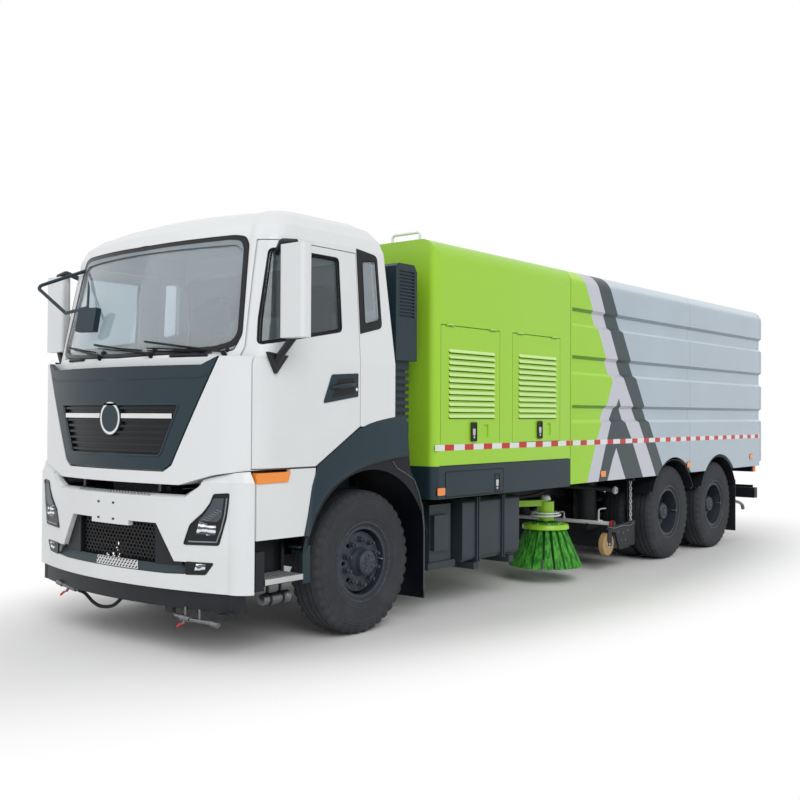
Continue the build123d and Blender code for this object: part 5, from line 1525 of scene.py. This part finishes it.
BAR_Y, BAR_Z = 0.595, 0.515
BAR_CAP = [(0.0, 0.030), (0.012, 0.0345), (0.030, 0.0345), (0.040, 0.028), (0.0445, 0.012),
           (0.0445, 0)]
BAR_COLLAR = [(0.0, 0.015), (0.022, 0.015), (0.026, 0.010)]
CHAIN_X, CHAIN_Y, CHAIN_TOP, CHAIN_STEP = 1.10, 1.22, 0.940, 0.0355
STRAP = [(1.136, 0.615, 0.475), (1.139, 0.75, 0.452), (1.139, 0.95, 0.462), (1.139, 1.12, 0.452),
         (1.139, 1.20, 0.478)]
PLATE_BOLTS = [(1.132, 0.86, 0.40), (1.132, 0.98, 0.38), (1.132, 1.08, 0.40), (1.132, 0.92, 0.31),
               (1.132, 1.03, 0.30)]
CASTOR_HUB = [(0.0, 0.038), (0.006, 0.038), (0.008, 0.026), (0.012, 0.024), (0.012, 0.012),
              (0.020, 0.011), (0.020, 0)]
WATER_PIPE = [(0.44, 0.835, 0.865), (0.80, 0.835, 0.865), (0.98, 0.835, 0.860), (1.10, 0.835, 0.850)]
WATER_PORT = [(0.0, 0.027), (0.0, 0.040), (0.018, 0.041), (0.020, 0.034), (0.032, 0.034),
              (0.034, 0.024), (0.020, 0.021), (0.019, 0)]


def link_parts(x, y, z, flat):
    """One chain link about a point, turned flat to the side or edge on."""
    loop = []
    for angle in circle(16):
        across = 0.0115 * cos(angle)
        along = 0.0155 * sin(angle) + (0.0095 if sin(angle) > 0 else -0.0095)
        loop.append((x + (0 if flat else across), y + (across if flat else 0), z + along))
    return tube_parts(loop, 0.0046, 6, closed=True)


for side, turn in SIDES:
    build("spray_bar_cap_" + side, [lathe_parts(BAR_CAP, (turn * 1.180, BAR_Y, BAR_Z), "X", 28, turn)],
          "red_paint", "chassis")
    handles = []
    for x, lift, reach in ((0.62, 0.090, -0.130), (1.04, 0.140, 0.155)):
        run = [(x, BAR_Y, BAR_Z - 0.015), (x, BAR_Y, BAR_Z + lift * 0.7),
               (x, BAR_Y + reach * 0.12, BAR_Z + lift), (x, BAR_Y + reach, BAR_Z + 0.003 + lift)]
        handles.append(tube_parts(smooth_path(on(turn, run), 5), 0.0085, 10))
        handles.append(lathe_parts(BAR_COLLAR, (turn * x, BAR_Y, BAR_Z + 0.015), "Z", 12))
    build("spray_bar_handles_" + side, handles, "steel", "chassis")
    links = [link_parts(turn * CHAIN_X, CHAIN_Y, CHAIN_TOP - 0.02 - CHAIN_STEP * k, k % 2)
             for k in range(13)]
    build("nozzle_chain_" + side, links, "steel", "chassis")
    trim = [tube_parts(smooth_path(on(turn, STRAP), 5), 0.007, 8)]
    trim += studs(on(turn, PLATE_BOLTS), 0.012, 0.006, 6, turn)
    build("nozzle_plate_trim_" + side, trim, "dark_steel", "chassis")
    build("castor_hub_" + side, [lathe_parts(CASTOR_HUB, (turn * 1.131, 0.64, 0.29), "X", 24, turn)],
          "steel", "castor_" + side)
    build("water_pipe_" + side, [tube_parts(smooth_path(on(turn, WATER_PIPE), 4), 0.024, 14)],
          "dark_steel", "chassis")
    build("water_port_" + side,
          [lathe_parts(WATER_PORT, (turn * 1.095, 0.835, 0.850), "X", 28, turn)], "steel", "chassis")
    guide = [(1.06, 1.225, 0.940), (1.06, 1.225, 0.440)]
    build("nozzle_guide_rod_" + side, [tube_parts(on(turn, guide), 0.010, 8)],
          "frame_black", "chassis")

bar = tube_parts([(x, BAR_Y, BAR_Z) for x in (-1.182, -0.6, 0.0, 0.6, 1.182)], 0.0208, 18)
build("spray_bar", [bar], "white_lens", "chassis")


# Front valves on the beam: pipes and couplings, hangers, red levers, and the hose between them

PIPE_Y, BEAM_BOTTOM = -4.705, 0.345
# Each valve: its pipe as (X, Z), the parts' radii, hangers, the lever's pivot and its tip
VALVES = {
    "right": ([(-0.800, 0.346), (-0.730, 0.334), (-0.640, 0.326), (-0.545, 0.318), (-0.500, 0.312)],
              (0.019, 0.014, 0.020, 0.012), ((-0.690, 0.330),), (-0.640, 0.322), (-0.720, 0.258)),
    "left": ([(0.640, 0.276), (0.705, 0.270), (0.800, 0.264), (1.020, 0.268), (1.090, 0.262)],
             (0.012, 0.022, 0.014, 0.020), ((0.752, 0.268), (0.900, 0.266)), (0.760, 0.262),
             (0.690, 0.205)),
}
for side, (pipe, radii, hangers, (x, z), tip) in VALVES.items():
    parts = [tube_parts([(a, PIPE_Y, b), (c, PIPE_Y, d)], radius, 14)
             for (a, b), (c, d), radius in zip(pipe, pipe[1:], radii)]
    parts += [tube_parts([(a, PIPE_Y, b), (a, PIPE_Y, BEAM_BOTTOM)], 0.009, 8) for a, b in hangers]
    stem = (x - 0.012, PIPE_Y - 0.016, z - 0.030)
    parts.append(tube_parts([(x, PIPE_Y - 0.004, z), stem], 0.011, 10))
    build("front_valve_" + side, parts, "dark_steel", "chassis", bevel=0.002)
    bend = (between((x, z), tip, 0.55)[0], PIPE_Y - 0.020, between((x, z), tip, 0.62)[1])
    lever = smooth_path([stem, bend, (tip[0], PIPE_Y - 0.022, tip[1])], 5)
    build("front_lever_" + side,
          [tube_parts(lever, [0.0055] * 4 + [0.0085] * (len(lever) - 4), 10)], "red_paint", "chassis")
sag = [(-0.510, 0.313), (-0.43, 0.300), (-0.32, 0.246), (-0.215, 0.228), (-0.08, 0.250), (0.02, 0.312),
       (0.065, 0.350)]
build("front_hose", [tube_parts(smooth_path([(x, PIPE_Y, z) for x, z in sag]), 0.013, 12)],
      "rubber_black", "chassis")
brackets = [((0.28, -4.720, 0.318), (0.40, -4.690, 0.334)),
            ((0.55, -4.720, 0.290), (0.63, -4.690, 0.334)),
            ((1.05, -4.70, 0.300), (1.13, -4.64, 0.334))]
build("front_pipe_brackets", [box_parts(brackets)], "frame_black", "chassis", bevel=0.003)


# Cab steps: bright tread with its edge, the panel behind it and an air bottle in its straps

STEP_X, STEP_Y, STEP_Z = (1.010, 1.240), (-4.430, -4.075), 0.5405
BOTTLE_X, BOTTLE_Y, BOTTLE_Z = 1.10, -4.205, 0.378
BOTTLE = [(-0.135, 0.020), (-0.130, 0.036), (-0.115, 0.040), (0.085, 0.040), (0.090, 0.044),
          (0.120, 0.044), (0.128, 0.036), (0.132, 0.018)]
STRAPS = (-0.07, 0.05)      # along the bottle
for side, turn in SIDES:
    near, far = sorted(turn * x for x in STEP_X)
    corners = [(x, y, STEP_Z) for y in STEP_Y for x in (near, far)]
    perforated("cab_step_" + side, corners_of(*corners), 5, 8, 0.010, "chassis")
    build("cab_step_edge_" + side,
          [box_parts([slab(turn * 1.2432, 0.0025, (-4.432, -4.073), (0.506, 0.5445))])],
          "steel", "chassis", bevel=0.0015)
    build("cab_step_panel_" + side,
          [box_parts([slab(turn * 1.215, 0.020, (-4.066, -3.990), (0.470, 0.728)),
                      slab(turn * 1.180, 0.055, (-4.110, -3.985), (0.722, 0.734))])],
          "slate", "chassis", bevel=0.006)
    middle = (turn * BOTTLE_X, BOTTLE_Y, BOTTLE_Z)
    build("air_bottle_" + side, [lathe_parts(BOTTLE, middle, "Y", 28)], "dark_steel", "chassis")
    hoops = [hoop_parts([(a - 0.008, 0.0425), (a - 0.008, 0.046), (a + 0.008, 0.046),
                         (a + 0.008, 0.0425)], middle, "Y", 28) for a in STRAPS]
    hangers = box_parts([slab(turn * BOTTLE_X, 0.008, (BOTTLE_Y + a - 0.008, BOTTLE_Y + a + 0.008),
                              (0.405, 0.502)) for a in STRAPS])
    build("air_bottle_straps_" + side, [*hoops, hangers], "frame_black", "chassis")


# Tail: lamp clusters and tape on the under-run bar, and hooked drain pipes

CLUSTER_X, LENS_STEP = 0.985, 0.126
LENSES = (("red_lens", -1), ("amber", 0), ("white_lens", 1))      # from the outer end inwards
DRAIN_PIPE = [(1.06, 4.30, 0.545), (1.06, 4.44, 0.500), (1.06, 4.56, 0.478), (1.06, 4.66, 0.440),
              (1.06, 4.70, 0.385)]
for side, turn in SIDES:
    base = slab(turn * CLUSTER_X, 0.200, (4.7295, 4.742), (0.600, 0.716))
    build("lamp_cluster_" + side, [box_parts([base])], "black_plastic", "chassis", bevel=0.003)
    for kind, place in LENSES:
        lens = slab(turn * (CLUSTER_X - LENS_STEP * place), 0.056, (4.740, 4.762), (0.610, 0.706))
        build(f"cluster_{kind}_{side}", [box_parts([lens])], kind, "chassis", bevel=0.008, segments=3)
    pipe = smooth_path(on(turn, DRAIN_PIPE), 5)
    build("drain_pipe_" + side, [tube_parts(pipe, [0.020] * 16 + [0.024] * (len(pipe) - 16), 14)],
          "dark_steel", "chassis")
build("underrun_tape", [box_parts([((-0.74, 4.7302, 0.630), (0.74, 4.7314, 0.680))])],
      "cross_tape", "chassis")




# Inside the cab: dash, steering wheel and two sprung seats

FINISHES["cabin_cloth"] = finish("Cabin cloth", (0.060, 0.062, 0.070), 0.88, dust=0.04, bump=0.5,
                                 grain_scale=900, vary=0.15, waves=20)
FINISHES["pale_trim"] = finish("Pale cab trim", (0.34, 0.345, 0.35), 0.7, dust=0.04, bump=0.1,
                               grain_scale=500)


def power(value, exponent):
    """A power that keeps the sign."""
    return (1 if value >= 0 else -1) * abs(value) ** exponent


def padded_form(name, centre, size, tilt, channels, body):
    """A crowned pad with pulled-in sides, soft corners and sewn channels, tilted about X."""
    rings, steps = 22, 44
    points, faces = [], []
    lean = Matrix.Rotation(radians(tilt), 3, "X")
    for ring in range(rings + 1):
        polar = pi * ring / rings - pi / 2
        for turn in circle(steps):
            x = power(cos(polar), 0.42) * power(cos(turn), 0.36)
            y = power(cos(polar), 0.42) * power(sin(turn), 0.36)
            z = power(sin(polar), 0.62)
            pull = 1 - 0.035 * (1 - abs(x)) if abs(y) > 0.8 else 1
            groove = sum(0.10 * max(0, 1 - abs(abs(x) - c) / 0.05) for c in channels) if z > 0.3 else 0
            local = Vector((x * size[0] / 2, y * pull * size[1] / 2, (z - groove * z) * size[2] / 2))
            points.append(tuple(Vector(centre) + lean @ local))
    for ring in range(rings):
        for step in range(steps):
            after = (step + 1) % steps
            faces.append((ring * steps + step, ring * steps + after,
                          (ring + 1) * steps + after, (ring + 1) * steps + step))
    piece = build(name, [(points, faces)], "cabin_cloth", body, smooth=60)
    return piece


def dash_parts():
    """The dash: a section along the cab's front wall, with a hood over the driver's dials."""
    points, faces = [], []
    columns = [-1.045 + 0.0475 * k for k in range(45)]
    for x in columns:
        wall = cab_front(x, 1.9)[1] + 0.145
        hood = 0.045 * max(0, 1 - ((x - DRIVER_X) / 0.26) ** 2)
        points += [(x, wall, z) for z in (1.765, 2.020)]
        points += [(x, max(y, wall + 0.02), z + (hood if z > 1.95 else 0)) for y, z in DASH]
    count = len(DASH) + 2
    for column in range(len(columns) - 1):
        for k in range(count):
            a, b = column * count + k, column * count + (k + 1) % count
            faces.append((a, b, b + count, a + count))
    faces += [tuple(range(count)), tuple(range(len(points) - count, len(points)))]
    return points, faces


DRIVER_X = 0.56
# The dash's top and face as (Y, Z), from the windscreen down
DASH = ((-4.500, 2.036), (-4.420, 2.030), (-4.300, 1.965), (-4.268, 1.900), (-4.262, 1.810),
        (-4.300, 1.745), (-4.360, 1.705))
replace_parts(build("dash", [dash_parts()], "interior", "cab", smooth=50), "cab_interior")
vents = [plate_parts(rounded(rectangle((x - 0.07, 1.86), (x + 0.07, 1.92)), 0.02), -4.262, -4.252, "XZ")
         for x in (-0.8, -0.35, 0.1, 0.95)]
build("dash_vents", vents, "black_plastic", "cab")

hub = Vector((DRIVER_X, -4.12, 2.06))
lean = Vector((0, 0.72, 0.69)).to_track_quat("Z", "Y").to_matrix()


def on_wheel(radius, angle, out=0.0):
    """A point on the leaning steering wheel."""
    return tuple(hub + lean @ Vector((radius * cos(angle), radius * sin(angle), out)))


wheel = [tube_parts([on_wheel(0.215, a) for a in circle(48)], 0.0155, 12, closed=True)]
for angle in (90, 210, 330):
    tip = on_wheel(0.205, radians(angle))
    wheel.append(tube_parts([on_wheel(0, 0, -0.03), between(hub, tip, 0.4), tip],
                            [0.024, 0.018, 0.012], 10))
wheel.append(tube_parts([on_wheel(0, 0, -0.05), on_wheel(0, 0, 0.008)], [0.070, 0.055], 24))
wheel.append(tube_parts([(DRIVER_X, -4.335, 1.852), (DRIVER_X, -4.15, 2.03)], 0.030, 16))
build("steering_wheel", wheel, "black_plastic", "cab")

# Sprung seats: name, (Y, Z) of the middle, size, tilt and channels
PADS = (("cushion", (-3.660, 1.916), (0.500, 0.520, 0.135), -2, (0.42,)),
        ("back_rest", (-3.392, 2.290), (0.480, 0.660, 0.105), 83, (0.42,)),
        ("head_rest", (-3.345, 2.600), (0.280, 0.150, 0.085), 83, ()))
CARD = rounded([(-4.44, 1.36), (-3.90, 1.36), (-3.53, 1.62), (-3.53, 2.15), (-4.40, 2.08)], 0.05)
for side, turn in SIDES:
    x = turn * 0.6
    for name, (y, z), size, tilt, channels in PADS:
        padded_form(f"{name}_{side}", (x, y, z), size, tilt, channels, "cab")
    base = box_parts([slab(x, 0.20, (-3.86, -3.42), (1.62, 1.850)),
                      slab(x, 0.22, (-3.88, -3.44), (1.835, 1.852))])
    build("chair_base_" + side, [base], "interior", "cab", bevel=0.012)
    build("door_card_" + side, [sheet_on(on_side(turn), CARD, 0.006, None, -0.058)],
          "pale_trim", "door_" + side)
